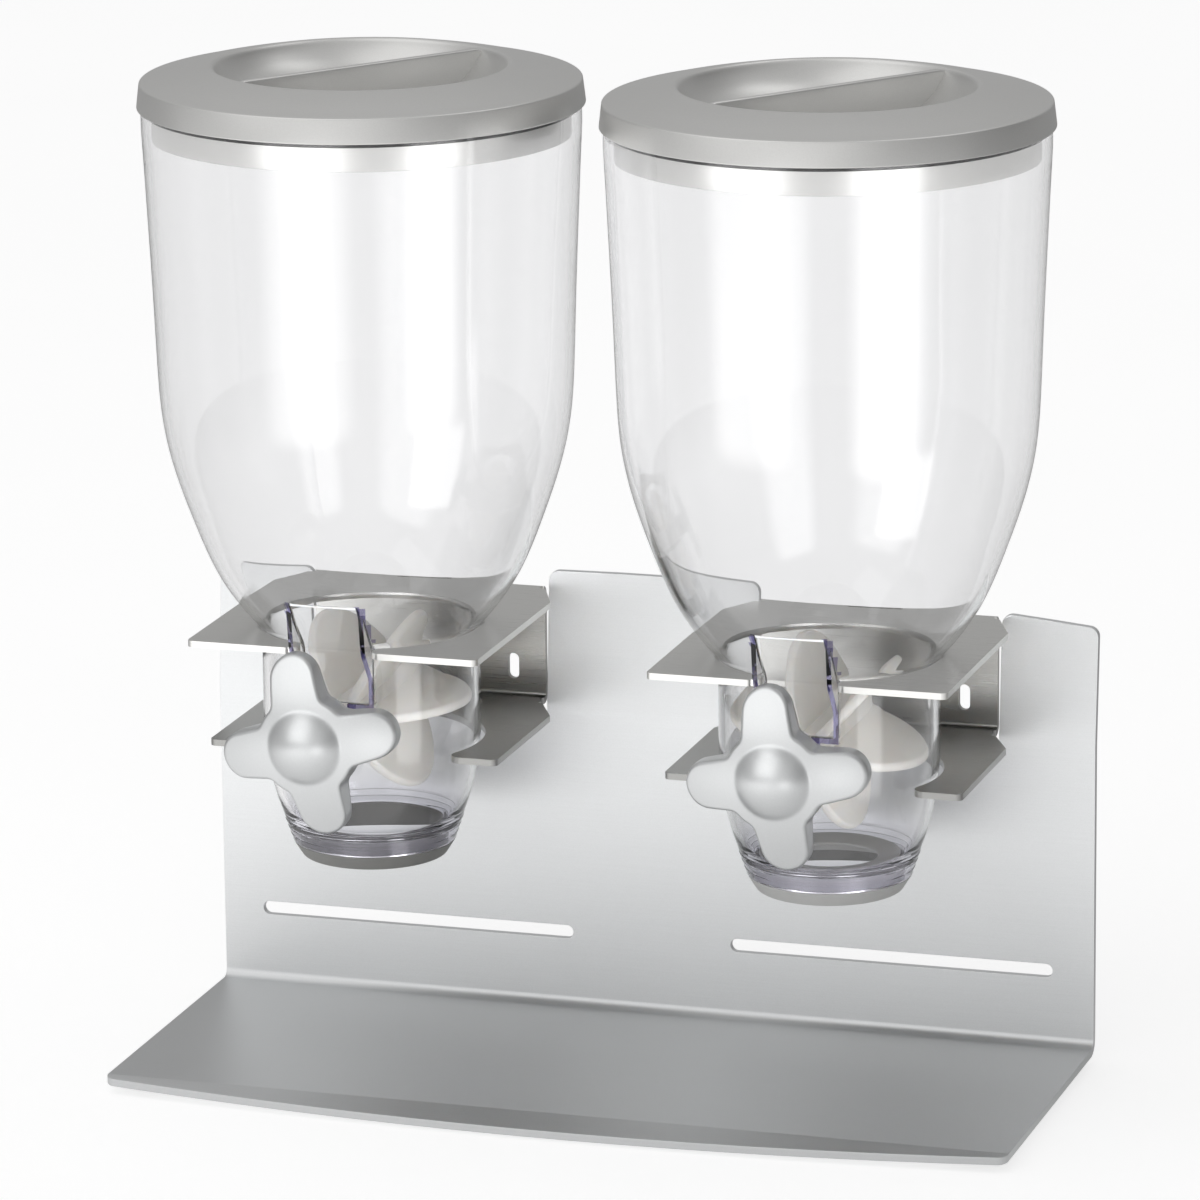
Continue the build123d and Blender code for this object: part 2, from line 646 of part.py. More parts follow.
for side, sign, blade_turn, knob_turn in SIDES:
    axis_x = sign * AXIS_X
    save(make_bracket(), "bracket_" + side, axis_x, -AXIS_Y)
    for name, part in (
        ("canister", make_canister()),
        ("front_gate", make_gate()),
        ("lid", make_lid()),
        ("lid_seal", make_seal()),
        ("paddle_wheel", make_wheel(blade_turn)),
        ("drive_shaft", make_shaft()),
        ("knob", make_knob(knob_turn)),
        ("outlet_collar", make_collar()),
    ):
        save(part, f"{name}_{side}", axis_x)
save(make_reducer(), "outlet_reducer_right", AXIS_X)
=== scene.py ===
import bpy, bmesh, math
import numpy as np
from mathutils import Vector, Matrix
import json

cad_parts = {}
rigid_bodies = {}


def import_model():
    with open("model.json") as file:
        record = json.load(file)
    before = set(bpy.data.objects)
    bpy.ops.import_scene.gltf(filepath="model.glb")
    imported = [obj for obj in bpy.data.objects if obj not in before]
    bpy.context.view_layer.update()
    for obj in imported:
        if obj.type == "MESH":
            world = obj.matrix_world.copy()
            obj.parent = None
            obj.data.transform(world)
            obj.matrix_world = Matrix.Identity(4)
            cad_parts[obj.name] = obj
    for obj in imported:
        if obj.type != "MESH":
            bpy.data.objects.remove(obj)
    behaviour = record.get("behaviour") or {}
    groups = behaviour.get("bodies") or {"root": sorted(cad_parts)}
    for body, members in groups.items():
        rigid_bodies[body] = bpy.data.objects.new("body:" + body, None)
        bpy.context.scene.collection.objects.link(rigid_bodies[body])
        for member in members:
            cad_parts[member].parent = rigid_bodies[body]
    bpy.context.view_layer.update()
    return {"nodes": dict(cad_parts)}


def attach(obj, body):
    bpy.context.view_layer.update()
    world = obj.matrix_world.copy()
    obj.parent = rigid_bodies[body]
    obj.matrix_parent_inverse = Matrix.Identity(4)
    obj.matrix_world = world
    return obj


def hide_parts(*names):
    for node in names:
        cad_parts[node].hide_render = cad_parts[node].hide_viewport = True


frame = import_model()

MM = 0.001
T = 7.0                 # tray top above the table
AX = 92.0               # dispenser axes at X = -92 and +92, Y = 0
PANEL_Y = 66.4          # front face of the back panel
SHAFT_Z = T + 140.4


# ----------------------------------------------------------------- node help
class NT:
    """Short hand for building a material's node tree."""

    def __init__(self, name, displace=False):
        self.mat = bpy.data.materials.new(name)
        self.mat.use_nodes = True
        self.nt = self.mat.node_tree
        self.nt.nodes.clear()
        self.out = self.nt.nodes.new("ShaderNodeOutputMaterial")

    def node(self, kind, **props):
        n = self.nt.nodes.new(kind)
        for k, v in props.items():
            if k in n.inputs:
                sock = n.inputs[k]
                if isinstance(v, bpy.types.NodeSocket):
                    self.nt.links.new(v, sock)
                else:
                    sock.default_value = v
            else:
                setattr(n, k, v)
        return n

    def link(self, a, b):
        self.nt.links.new(a, b)

    def coords(self, scale=(1, 1, 1), rot=(0, 0, 0)):
        tc = self.node("ShaderNodeTexCoord")
        mp = self.node("ShaderNodeMapping")
        mp.inputs["Scale"].default_value = scale
        mp.inputs["Rotation"].default_value = rot
        self.link(tc.outputs["Object"], mp.inputs["Vector"])
        return mp.outputs["Vector"]

    def noise(self, vec, scale, detail=3.0, rough=0.5):
        n = self.node("ShaderNodeTexNoise")
        self.link(vec, n.inputs["Vector"])
        n.inputs["Scale"].default_value = scale
        n.inputs["Detail"].default_value = detail
        n.inputs["Roughness"].default_value = rough
        return n.outputs["Fac"]

    def remap(self, value, lo, hi, a=0.0, b=1.0):
        m = self.node("ShaderNodeMapRange")
        self.link(value, m.inputs["Value"])
        m.inputs["From Min"].default_value = a
        m.inputs["From Max"].default_value = b
        m.inputs["To Min"].default_value = lo
        m.inputs["To Max"].default_value = hi
        return m.outputs["Result"]

    def ramp(self, value, stops):
        r = self.node("ShaderNodeValToRGB")
        self.link(value, r.inputs["Fac"])
        els = r.color_ramp.elements
        while len(els) > 1:
            els.remove(els[-1])
        els[0].position, els[0].color = stops[0][0], stops[0][1]
        for p, c in stops[1:]:
            e = els.new(p)
            e.color = c
        return r.outputs["Color"]

    def tone(self, colour, z0, z1, low):
        """Multiplies a colour by `low` beneath height z0, fading to no change at z1."""
        tc = self.node("ShaderNodeTexCoord")
        sp = self.node("ShaderNodeSeparateXYZ")
        self.link(tc.outputs["Object"], sp.inputs[0])
        mx = self.node("ShaderNodeMix", data_type="RGBA", blend_type="MULTIPLY")
        self.link(self.remap(sp.outputs["Z"], 1.0, 0.0, z0, z1), mx.inputs[0])
        self.link(colour, mx.inputs[6])
        mx.inputs[7].default_value = low
        return mx.outputs[2]

    def bump(self, height, strength, distance, normal=None):
        b = self.node("ShaderNodeBump")
        self.link(height, b.inputs["Height"])
        b.inputs["Strength"].default_value = strength
        b.inputs["Distance"].default_value = distance
        if normal is not None:
            self.link(normal, b.inputs["Normal"])
        return b.outputs["Normal"]

    def principled(self, **props):
        p = self.node("ShaderNodeBsdfPrincipled")
        for k, v in props.items():
            sock = p.inputs[k.replace("_", " ")]
            if isinstance(v, bpy.types.NodeSocket):
                self.link(v, sock)
            else:
                sock.default_value = v
        return p

    def done(self, shader):
        self.link(shader, self.out.inputs["Surface"])
        return self.mat


def grey(v, tint=(1, 1, 1)):
    return (v * tint[0], v * tint[1], v * tint[2], 1.0)


# ----------------------------------------------------------------- materials
def sheet_metal(name, base, rough, tint=(1.0, 1.0, 1.0), low=None):
    """Satin-finished sheet: very fine grain drawn along the width, soft cloudy variation, light scuffs. With `low`, the
    colour is darkened beneath a height, as painted shade.
    """
    m = NT(name)
    grain = m.noise(m.coords((6, 900, 900)), 6.0, 4.0, 0.65)
    cloud = m.noise(m.coords((1, 1, 1)), 9.0, 3.0, 0.55)
    fleck = m.noise(m.coords((1, 1, 1)), 2600.0, 2.0, 0.6)
    mixg = m.node("ShaderNodeMath", operation="ADD")
    m.link(m.remap(grain, -0.020, 0.020, 0.3, 0.7), mixg.inputs[0])
    m.link(m.remap(cloud, -0.018, 0.018, 0.3, 0.7), mixg.inputs[1])
    mixf = m.node("ShaderNodeMath", operation="ADD")
    m.link(mixg.outputs[0], mixf.inputs[0])
    m.link(m.remap(fleck, -0.022, 0.022, 0.3, 0.7), mixf.inputs[1])
    col = m.ramp(m.remap(mixf.outputs[0], 0.0, 1.0, -0.06, 0.06),
                 [(0.0, grey(base * 0.93, tint)), (1.0, grey(base * 1.05, tint))])
    # painted shade: the colour is darkened beneath the height given in `low`
    if low:
        col = m.tone(col, *low)
    rg = m.node("ShaderNodeMath", operation="ADD")
    m.link(m.remap(grain, rough - 0.03, rough + 0.03, 0.3, 0.7), rg.inputs[0])
    m.link(m.remap(cloud, -0.015, 0.015, 0.3, 0.7), rg.inputs[1])
    nrm = m.bump(grain, 0.05, 0.0004)
    nrm = m.bump(fleck, 0.04, 0.0002, nrm)
    p = m.principled(Base_Color=col, Metallic=1.0, Roughness=rg.outputs[0], Normal=nrm)
    return m.done(p.outputs[0])


def silver_plastic(name, base, rough, tint=(1, 1, 1), metallic=0.75):
    """Metallic-effect moulded plastic: pearl flake sparkle, slight flow clouding, fine moulded texture."""
    m = NT(name)
    flake = m.node("ShaderNodeTexVoronoi", feature="F1")
    m.link(m.coords(), flake.inputs["Vector"])
    flake.inputs["Scale"].default_value = 3600.0
    rnd = m.node("ShaderNodeSeparateColor")
    m.link(flake.outputs["Color"], rnd.inputs["Color"])
    cloud = m.noise(m.coords(), 14.0, 3.0, 0.5)
    fine = m.noise(m.coords(), 1500.0, 2.0, 0.5)
    s = m.node("ShaderNodeMath", operation="ADD")
    m.link(m.remap(rnd.outputs[0], -0.025, 0.025), s.inputs[0])
    m.link(m.remap(cloud, -0.02, 0.02, 0.3, 0.7), s.inputs[1])
    col = m.ramp(m.remap(s.outputs[0], 0.0, 1.0, -0.07, 0.07),
                 [(0.0, grey(base * 0.94, tint)), (1.0, grey(base * 1.06, tint))])
    r = m.remap(rnd.outputs[1], rough - 0.02, rough + 0.02)
    nrm = m.bump(fine, 0.018, 0.0003)
    p = m.principled(Base_Color=col, Metallic=metallic, Roughness=r, Normal=nrm)
    p.inputs["Coat Weight"].default_value = 0.12
    p.inputs["Coat Roughness"].default_value = 0.28
    return m.done(p.outputs[0])


def clear_plastic(name, tint=(0.985, 0.988, 0.992), rough=0.0, ior=1.47, shadow=0.93, low=None):
    """Clear moulded plastic. Lamps pass through it, as they do through thin clear walls."""
    m = NT(name)
    haze = m.noise(m.coords((1, 1, 0.35)), 22.0, 4.0, 0.6)
    scuff = m.noise(m.coords((1, 1, 1)), 240.0, 3.0, 0.6)
    wave = m.noise(m.coords((1, 1, 0.5)), 10.0, 2.0, 0.5)
    col = m.ramp(m.remap(haze, 0.0, 1.0, 0.3, 0.7),
                 [(0.0, (tint[0] * 0.99, tint[1] * 0.99, tint[2] * 0.99, 1)), (1.0, (min(1, tint[0] * 1.005), min(1, tint[1] * 1.005), min(1, tint[2] * 1.005), 1))])
    if low:
        col = m.tone(col, *low)
    r = m.remap(scuff, rough, rough + 0.02, 0.35, 0.75)
    nrm = m.bump(wave, 0.06, 0.002)
    p = m.principled(Base_Color=col, Roughness=r, IOR=ior, Normal=nrm)
    p.inputs["Transmission Weight"].default_value = 1.0
    tr = m.node("ShaderNodeBsdfTransparent")
    tr.inputs["Color"].default_value = (shadow, shadow, shadow, 1)
    lp = m.node("ShaderNodeLightPath")
    mix = m.node("ShaderNodeMixShader")
    m.link(lp.outputs["Is Shadow Ray"], mix.inputs[0])
    m.link(p.outputs[0], mix.inputs[1])
    m.link(tr.outputs[0], mix.inputs[2])
    return m.done(mix.outputs[0])


def soft_plastic(name, base, tint, rough, sss=0.25):
    """Matt soft plastic with a little light inside it, mould mottling and fine surface texture."""
    m = NT(name)
    mott = m.noise(m.coords(), 45.0, 4.0, 0.55)
    fine = m.noise(m.coords(), 900.0, 3.0, 0.6)
    col = m.ramp(m.remap(mott, 0.0, 1.0, 0.3, 0.7),
                 [(0.0, grey(base * 0.95, tint)), (1.0, grey(base * 1.04, tint))])
    r = m.remap(fine, rough - 0.06, rough + 0.06, 0.3, 0.7)
    nrm = m.bump(fine, 0.10, 0.0003)
    nrm = m.bump(mott, 0.05, 0.0010, nrm)
    p = m.principled(Base_Color=col, Roughness=r, Normal=nrm)
    p.inputs["Subsurface Weight"].default_value = sss
    p.inputs["Subsurface Radius"].default_value = (1.0, 0.8, 0.6)
    p.inputs["Subsurface Scale"].default_value = 0.004
    return m.done(p.outputs[0])


def rubber(name, base):
    """Matt black rubber with a fine bloom and grain."""
    m = NT(name)
    n1 = m.noise(m.coords(), 700.0, 3.0, 0.6)
    n2 = m.noise(m.coords(), 60.0, 2.0, 0.5)
    col = m.ramp(m.remap(n2, 0.0, 1.0, 0.3, 0.7), [(0.0, grey(base * 0.7)), (1.0, grey(base * 1.5))])
    nrm = m.bump(n1, 0.25, 0.0003)
    p = m.principled(Base_Color=col, Roughness=m.remap(n1, 0.55, 0.8, 0.3, 0.7), Normal=nrm)
    return m.done(p.outputs[0])


# painted shade: the tray, below 7.4 mm and fading out by 9 mm, is darkened to 0.76 for the dimmer light it reflects
M_STAND = sheet_metal("stand_sheet_satin", 0.88, 0.44, (0.982, 0.994, 1.0), (0.0074, 0.0090, grey(0.76)))
# painted shade: the lower shelves, below 138 mm and fading out by 150 mm, are darkened to 0.44 for the shade beneath
# the upper shelf and canisters
M_BRACKET = sheet_metal("bracket_sheet_satin", 0.80, 0.30, (1.0, 0.995, 0.965), (0.138, 0.150, grey(0.44)))
M_LID = silver_plastic("lid_silver_plastic", 0.70, 0.36, (1.0, 0.995, 0.975))
M_KNOB = silver_plastic("knob_silver_plastic", 0.58, 0.31, (0.978, 0.994, 1.0))
M_CLEAR = clear_plastic("canister_clear", tint=(0.932, 0.932, 0.936), low=(0.094, 0.112, (0.84, 0.83, 0.91, 1)))
M_EDGE = clear_plastic("canister_clear_edge", tint=(0.20, 0.18, 0.40), rough=0.03, shadow=0.75)
# painted highlight: opaque near-white matt plastic for the top edge of the clear gate
M_GATE_TOP_HIGHLIGHT = soft_plastic("gate_cut_edge", 0.95, (1.0, 1.0, 1.0), 0.35, 0.3)
M_GATE = clear_plastic("gate_clear", tint=(0.96, 0.962, 0.968))
M_WHEEL = soft_plastic("wheel_offwhite_soft", 0.90, (1.0, 0.975, 0.93), 0.50)
M_SHAFT = soft_plastic("shaft_offwhite", 0.60, (1.0, 0.985, 0.95), 0.42, 0.1)
M_COLLAR = {"left": soft_plastic("collar_gray", 0.235, (1.0, 0.995, 0.96), 0.50, 0.0),
            "right": soft_plastic("collar_gray_lighter", 0.52, (1.0, 1.0, 0.985), 0.48, 0.0)}
# painted shade: a darker copy of the collar plastic for the inside of the outlet bore
M_BORE_PAINTED_SHADE = soft_plastic("collar_gray_bore", 0.15, (1.0, 0.995, 0.96), 0.55, 0.0)
M_REDUCER = soft_plastic("reducer_light_gray", 0.40, (1.0, 1.0, 0.99), 0.45, 0.1)
M_SEAL = rubber("seal_black", 0.012)
M_FOOT = rubber("foot_black", 0.018)


# ---------------------------------------------------------------- mesh help
def finish_mesh(name, bm, mats, sharp=32.0, smooth=True):
    bmesh.ops.recalc_face_normals(bm, faces=bm.faces)
    me = bpy.data.meshes.new(name + "_mesh")
    bm.to_mesh(me)
    bm.free()
    me.transform(Matrix.Scale(MM, 4))
    ob = bpy.data.objects.new(name, me)
    bpy.context.scene.collection.objects.link(ob)
    for mt in mats:
        me.materials.append(mt)
    if smooth:
        me.polygons.foreach_set("use_smooth", [True] * len(me.polygons))
        me.set_sharp_from_angle(angle=math.radians(sharp))
    me.update()
    return ob


def flat_faces_lead(ob):
    """Keeps broad flat faces flat where small rounded edges run into them."""
    mod = ob.modifiers.new("flat_faces_lead", "WEIGHTED_NORMAL")
    mod.mode, mod.weight, mod.keep_sharp = "FACE_AREA", 100, True
    bpy.context.view_layer.update()
    dg = bpy.context.evaluated_depsgraph_get()
    me = bpy.data.meshes.new_from_object(ob.evaluated_get(dg), depsgraph=dg)
    ob.modifiers.clear()
    ob.data = me
    return ob


def filleted(points, radii, step=14.0):
    """Closed or open outline with round corners. radii is one number or one per point; arcs are cut every `step` degrees."""
    n = len(points)
    if not hasattr(radii, "__len__"):
        radii = [radii] * n
    out = []
    for i in range(n):
        p = np.array(points[i], float)
        a = np.array(points[i - 1], float)
        b = np.array(points[(i + 1) % n], float)
        r = radii[i]
        u, v = a - p, b - p
        lu, lv = np.linalg.norm(u), np.linalg.norm(v)
        if r <= 0 or lu < 1e-9 or lv < 1e-9:
            out.append(tuple(p))
            continue
        u, v = u / lu, v / lv
        cosang = float(np.clip(u @ v, -1, 1))
        ang = math.acos(cosang)
        if ang > math.pi - 1e-3:
            out.append(tuple(p))
            continue
        t = r / math.tan(ang / 2)
        lim = 0.49 * min(lu, lv)
        if t > lim:
            t = lim
            r = t * math.tan(ang / 2)
        s, e = p + u * t, p + v * t
        bis = (u + v) / np.linalg.norm(u + v)
        c = p + bis * (r / math.sin(ang / 2))
        a0 = math.atan2(*(s - c)[::-1])
        a1 = math.atan2(*(e - c)[::-1])
        d = (a1 - a0 + math.pi) % (2 * math.pi) - math.pi
        k = max(2, int(abs(math.degrees(d)) / step) + 1)
        for j in range(k + 1):
            th = a0 + d * j / k
            out.append((c[0] + r * math.cos(th), c[1] + r * math.sin(th)))
    return out


def spline(points, n):
    """Natural cubic spline through the points by chord length, sampled n times."""
    P = np.array(points, float)
    t = np.concatenate([[0], np.cumsum(np.linalg.norm(np.diff(P, axis=0), axis=1))])
    m = len(t)
    h = np.diff(t)
    A = np.zeros((m, m))
    A[0, 0] = A[-1, -1] = 1
    rhs = np.zeros((m, P.shape[1]))
    for i in range(1, m - 1):
        A[i, i - 1], A[i, i], A[i, i + 1] = h[i - 1], 2 * (h[i - 1] + h[i]), h[i]
        rhs[i] = 6 * ((P[i + 1] - P[i]) / h[i] - (P[i] - P[i - 1]) / h[i - 1])
    S = np.linalg.solve(A, rhs)
    out = []
    for x in np.linspace(0, t[-1], n):
        i = min(m - 2, max(0, int(np.searchsorted(t, x) - 1)))
        a, b = t[i + 1] - x, x - t[i]
        out.append(tuple((S[i] * a ** 3 + S[i + 1] * b ** 3) / (6 * h[i]) + (P[i] / h[i] - S[i] * h[i] / 6) * a
                         + (P[i + 1] / h[i] - S[i + 1] * h[i] / 6) * b))
    return out


def lathe_bm(profile, segs, closed=True):
    """Turns an (r, z) outline about Z. Points with r = 0 become poles."""
    bm = bmesh.new()
    rings = []
    for r, z in profile:
        if r < 1e-6:
            rings.append([bm.verts.new((0, 0, z))])
        else:
            rings.append([bm.verts.new((r * math.cos(2 * math.pi * k / segs), r * math.sin(2 * math.pi * k / segs), z))
                          for k in range(segs)])
    n = len(rings)
    for i in range(n if closed else n - 1):
        a, b = rings[i], rings[(i + 1) % n]
        if len(a) == 1 and len(b) == 1:
            continue
        for k in range(segs):
            k2 = (k + 1) % segs
            if len(a) == 1:
                bm.faces.new((a[0], b[k2], b[k]))
            elif len(b) == 1:
                bm.faces.new((a[k], a[k2], b[0]))
            else:
                bm.faces.new((a[k], a[k2], b[k2], b[k]))
    return bm


def lathe(name, profile, segs, cx, mats, closed=True, sharp=32.0):
    bm = lathe_bm(profile, segs, closed)
    bmesh.ops.translate(bm, verts=bm.verts, vec=(cx, 0, 0))
    return finish_mesh(name, bm, mats, sharp)


def prism_bm(outline, lo, hi, axis):
    """Outline of pairs extruded between lo and hi along axis. X: pairs are (y, z). Y: pairs are (x, z). Z: pairs are (x, y)."""
    def place(a, b, h):
        return {"X": (h, a, b), "Y": (a, h, b), "Z": (a, b, h)}[axis]
    bm = bmesh.new()
    v0 = [bm.verts.new(place(a, b, lo)) for a, b in outline]
    v1 = [bm.verts.new(place(a, b, hi)) for a, b in outline]
    bm.faces.new(v0[::-1])
    bm.faces.new(v1)
    n = len(outline)
    for i in range(n):
        j = (i + 1) % n
        bm.faces.new((v0[i], v0[j], v1[j], v1[i]))
    bmesh.ops.recalc_face_normals(bm, faces=bm.faces)
    return bm


def bevel_bm(bm, width, segs=2, angle=35.0):
    edges = [e for e in bm.edges if len(e.link_faces) == 2 and e.calc_face_angle(0) > math.radians(angle)]
    bmesh.ops.bevel(bm, geom=edges, offset=width, offset_type="OFFSET", segments=segs, profile=0.5, affect="EDGES", clamp_overlap=True)
    return bm


def temp_object(bm, name="temp"):
    bmesh.ops.recalc_face_normals(bm, faces=bm.faces)
    me = bpy.data.meshes.new(name)
    bm.to_mesh(me)
    bm.free()
    ob = bpy.data.objects.new(name, me)
    bpy.context.scene.collection.objects.link(ob)
    return ob


def boolean(base, steps):
    """Applies (operation, bmesh) steps to the base bmesh with the exact solver, and returns a bmesh."""
    ob = temp_object(base, "bool_base")
    cutters = []
    for i, (op, bm) in enumerate(steps):
        cut = temp_object(bm, "bool_cut")
        cutters.append(cut)
        mod = ob.modifiers.new("b%d" % i, "BOOLEAN")
        mod.operation = op
        mod.solver = "EXACT"
        mod.object = cut
    bpy.context.view_layer.update()
    dg = bpy.context.evaluated_depsgraph_get()
    me = bpy.data.meshes.new_from_object(ob.evaluated_get(dg), depsgraph=dg)
    out = bmesh.new()
    out.from_mesh(me)
    for o in cutters + [ob]:
        old = o.data
        bpy.data.objects.remove(o)
        bpy.data.meshes.remove(old)
    bpy.data.meshes.remove(me)
    return out


def rod_bm(y0, y1, x, z, r, segs=40):
    bm = bmesh.new()
    a = [bm.verts.new((x + r * math.cos(2 * math.pi * k / segs), y0, z + r * math.sin(2 * math.pi * k / segs))) for k in range(segs)]
    b = [bm.verts.new((v.co.x, y1, v.co.z)) for v in a]
    bm.faces.new(a)
    bm.faces.new(b[::-1])
    for k in range(segs):
        j = (k + 1) % segs
        bm.faces.new((a[k], a[j], b[j], b[k]))
    bmesh.ops.recalc_face_normals(bm, faces=bm.faces)
    return bm


def box_bm(x0, x1, y0, y1, z0, z1):
    return prism_bm([(x0, y0), (x1, y0), (x1, y1), (x0, y1)], z0, z1, "Z")


def put(ob, body, slot, *nodes):
    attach(ob, body)
    if nodes:
        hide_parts(*nodes)
    return ob


# ------------------------------------------------------------ sheet pieces
def from_cad(node, name, mat, width, body, slot):
    """A copy of the CAD sheet with its corners rounded over, so that its edges catch the light."""
    src = frame["nodes"][node]
    bm = bmesh.new()
    bm.from_mesh(src.data)
    bmesh.ops.scale(bm, vec=(1000, 1000, 1000), verts=bm.verts)
    bmesh.ops.remove_doubles(bm, verts=bm.verts, dist=0.002)
    bmesh.ops.dissolve_limit(bm, angle_limit=math.radians(0.4), verts=bm.verts, edges=bm.edges, delimit=set())
    bevel_bm(bm, width, 2, 40.0)
    bmesh.ops.triangulate(bm, faces=[f for f in bm.faces if len(f.verts) > 4])
    ob = flat_faces_lead(finish_mesh(name, bm, [mat], 30.0))
    return put(ob, body, slot, node)


# -------------------------------------------------------------- dispensers
OUTER = [(43.12, 170.6), (47.9, 176.0), (52.9, 182.6), (57.6, 190.0), (62.3, 199.6), (67.9, 214.0), (72.8, 228.1),
         (76.2, 240.4), (78.6, 254.0), (79.9, 272.1), (80.9, 299.8), (82.1, 327.9), (83.2, 352.0)]
TAPER = [(31.9, 84.3), (32.8, 87.6), (35.9, 96.7), (39.0, 106.5), (41.2, 118.0), (42.2, 130.0)]
WALL, NECK, RIM_R, RIM_TOP = 2.5, 42.3, 83.9, 380.5
SLOT, SLOT_LO, SLOT_HI = 13.5, 148.5, 190.5


def offset_in(pts, t):
    out = []
    n = len(pts)
    for i, (r, z) in enumerate(pts):
        r0, z0 = pts[max(i - 1, 0)]
        r1, z1 = pts[min(i + 1, n - 1)]
        dr, dz = r1 - r0, z1 - z0
        ln = math.hypot(dr, dz)
        out.append((r - t * dz / ln, z + t * dr / ln))
    return out


def canister_profile():
    taper = spline(TAPER, 26)
    # fine steps moulded round the outlet end
    stepped = []
    for r, z in taper:
        stepped.append((r, z))
    grooves = [(87.6, 32.95), (90.4, 33.9), (93.2, 34.85)]
    lowest = [p for p in stepped if p[1] < 87.0]
    highest = [p for p in stepped if p[1] > 94.4]
    mid = []
    for z, r in grooves:
        mid += [(r - 0.17, z - 0.62), (r - 0.10, z - 0.40), (r - 0.26, z - 0.22), (r - 0.28, z), (r - 0.20, z + 0.22), (r + 0.06, z + 0.42), (r + 0.18, z + 0.64)]
    outer = lowest + mid + highest
    outer += [(NECK, 133.0), (NECK, 145.0), (NECK, 157.0), (NECK, 168.8), (42.45, 169.75)]
    bowl = spline(OUTER, 84)
    outer += bowl
    outer += [(83.45, 357.0), (83.7, 361.5), (RIM_R, 366.0), (RIM_R, 372.0)]
    rim = [(RIM_R, RIM_TOP - 0.7), (RIM_R - 0.25, RIM_TOP - 0.2), (RIM_R - 0.7, RIM_TOP),
           (RIM_R - WALL + 0.7, RIM_TOP), (RIM_R - WALL + 0.2, RIM_TOP - 0.2), (RIM_R - WALL, RIM_TOP - 0.7)]
    inner = [(RIM_R - WALL, 372.0), (RIM_R - WALL, 364.5), (RIM_R - WALL - 0.25, 360.0)]
    inner += offset_in(spline(OUTER, 84), WALL)[::-1]
    inner += [(NECK - WALL, 169.2), (NECK - WALL, 157.0), (NECK - WALL, 145.0), (NECK - WALL, 133.0)]
    inner += spline([(28.6, 91.1), (31.0, 93.4), (33.6, 98.0), (36.5, 106.6), (38.7, 118.0), (39.75, 130.0)], 26)[::-1]
    inner += [(28.1, 90.75), (27.85, 90.5), (27.8, 90.2), (27.8, 87.0), (27.8, 84.6), (28.1, 84.3), (30.0, 84.3), (31.5, 84.3)]
    return [(r, z + T) for r, z in outer + rim + inner]


def make_canister(side, cx):
    base = lathe_bm(canister_profile(), 168)
    lo, hi = SLOT_LO + T, SLOT_HI + T
    # the polygon is (y, z): a flange stands proud of the neck and runs into the bowl
    flange = [(-54.0, hi), (-51.6, T + 172.4), (-50.6, T + 169.9), (-49.9, T + 168.9), (-43.4, T + 159.6), (-42.7, T + 158.2), (-42.5, lo - 2.0),
              (-38.5, lo - 2.0), (-38.5, T + 167.6), (-44.4, T + 176.2), (-49.4, T + 182.8), (-53.3, hi)]
    steps = [("DIFFERENCE", box_bm(-SLOT, SLOT, -75, -30, lo, hi))]
    for s in (-1, 1):
        x0, x1 = sorted((s * SLOT, s * (SLOT + 1.9)))
        steps.append(("UNION", prism_bm(flange, x0, x1, "X")))
    steps.append(("UNION", box_bm(-SLOT - 0.4, SLOT + 0.4, -42.45, -39.2, lo - 1.98, lo)))
    boss = boolean(rod_bm(-45.6, -39.5, 0, SHAFT_Z, 7.6), [("DIFFERENCE", box_bm(-20, 20, -60, -30, lo - 1.9, lo + 40))])
    steps.append(("UNION", boss))
    steps.append(("DIFFERENCE", rod_bm(-60, -30, 0, SHAFT_Z, 4.55)))
    steps.append(("DIFFERENCE", box_bm(-4.55, 4.55, -60, -30, SHAFT_Z + 0.4, lo + 1.0)))
    steps.append(("UNION", rod_bm(36.6, 41.2, 0, SHAFT_Z, 6.5)))
    steps.append(("DIFFERENCE", rod_bm(30, 40.6, 0, SHAFT_Z, 3.05, 28)))
    bm = boolean(base, steps)
    bmesh.ops.remove_doubles(bm, verts=bm.verts, dist=0.0005)
    bmesh.ops.dissolve_degenerate(bm, edges=bm.edges, dist=0.0005)
    # the thick cut edges of the slot and the bar beneath it are seen along the plastic, where its tint shows
    for f in bm.faces:
        c = f.calc_center_median()
        n = f.normal
        r = math.hypot(c.x, c.y)
        f.material_index = 0
        on_flange = (SLOT - 0.01 < abs(c.x) < SLOT + 1.95) and c.y < -38.3 and lo - 2.1 < c.z < hi + 0.2
        if on_flange and abs(n.x) < 0.5 and r > 42.6:
            f.material_index = 1
        if lo - 2.1 < c.z < lo + 0.2 and abs(c.x) < SLOT + 0.5 and c.y < -39 and r < 44.0 and (abs(n.z) > 0.9 or abs(n.y) > 0.9):
            f.material_index = 1
    bmesh.ops.translate(bm, verts=bm.verts, vec=(cx, 0, 0))
    ob = finish_mesh("clear_canister_" + side, bm, [M_CLEAR, M_EDGE], 28.0)
    return put(ob, "dispenser_" + side, "clear_plastic", "canister_" + side)


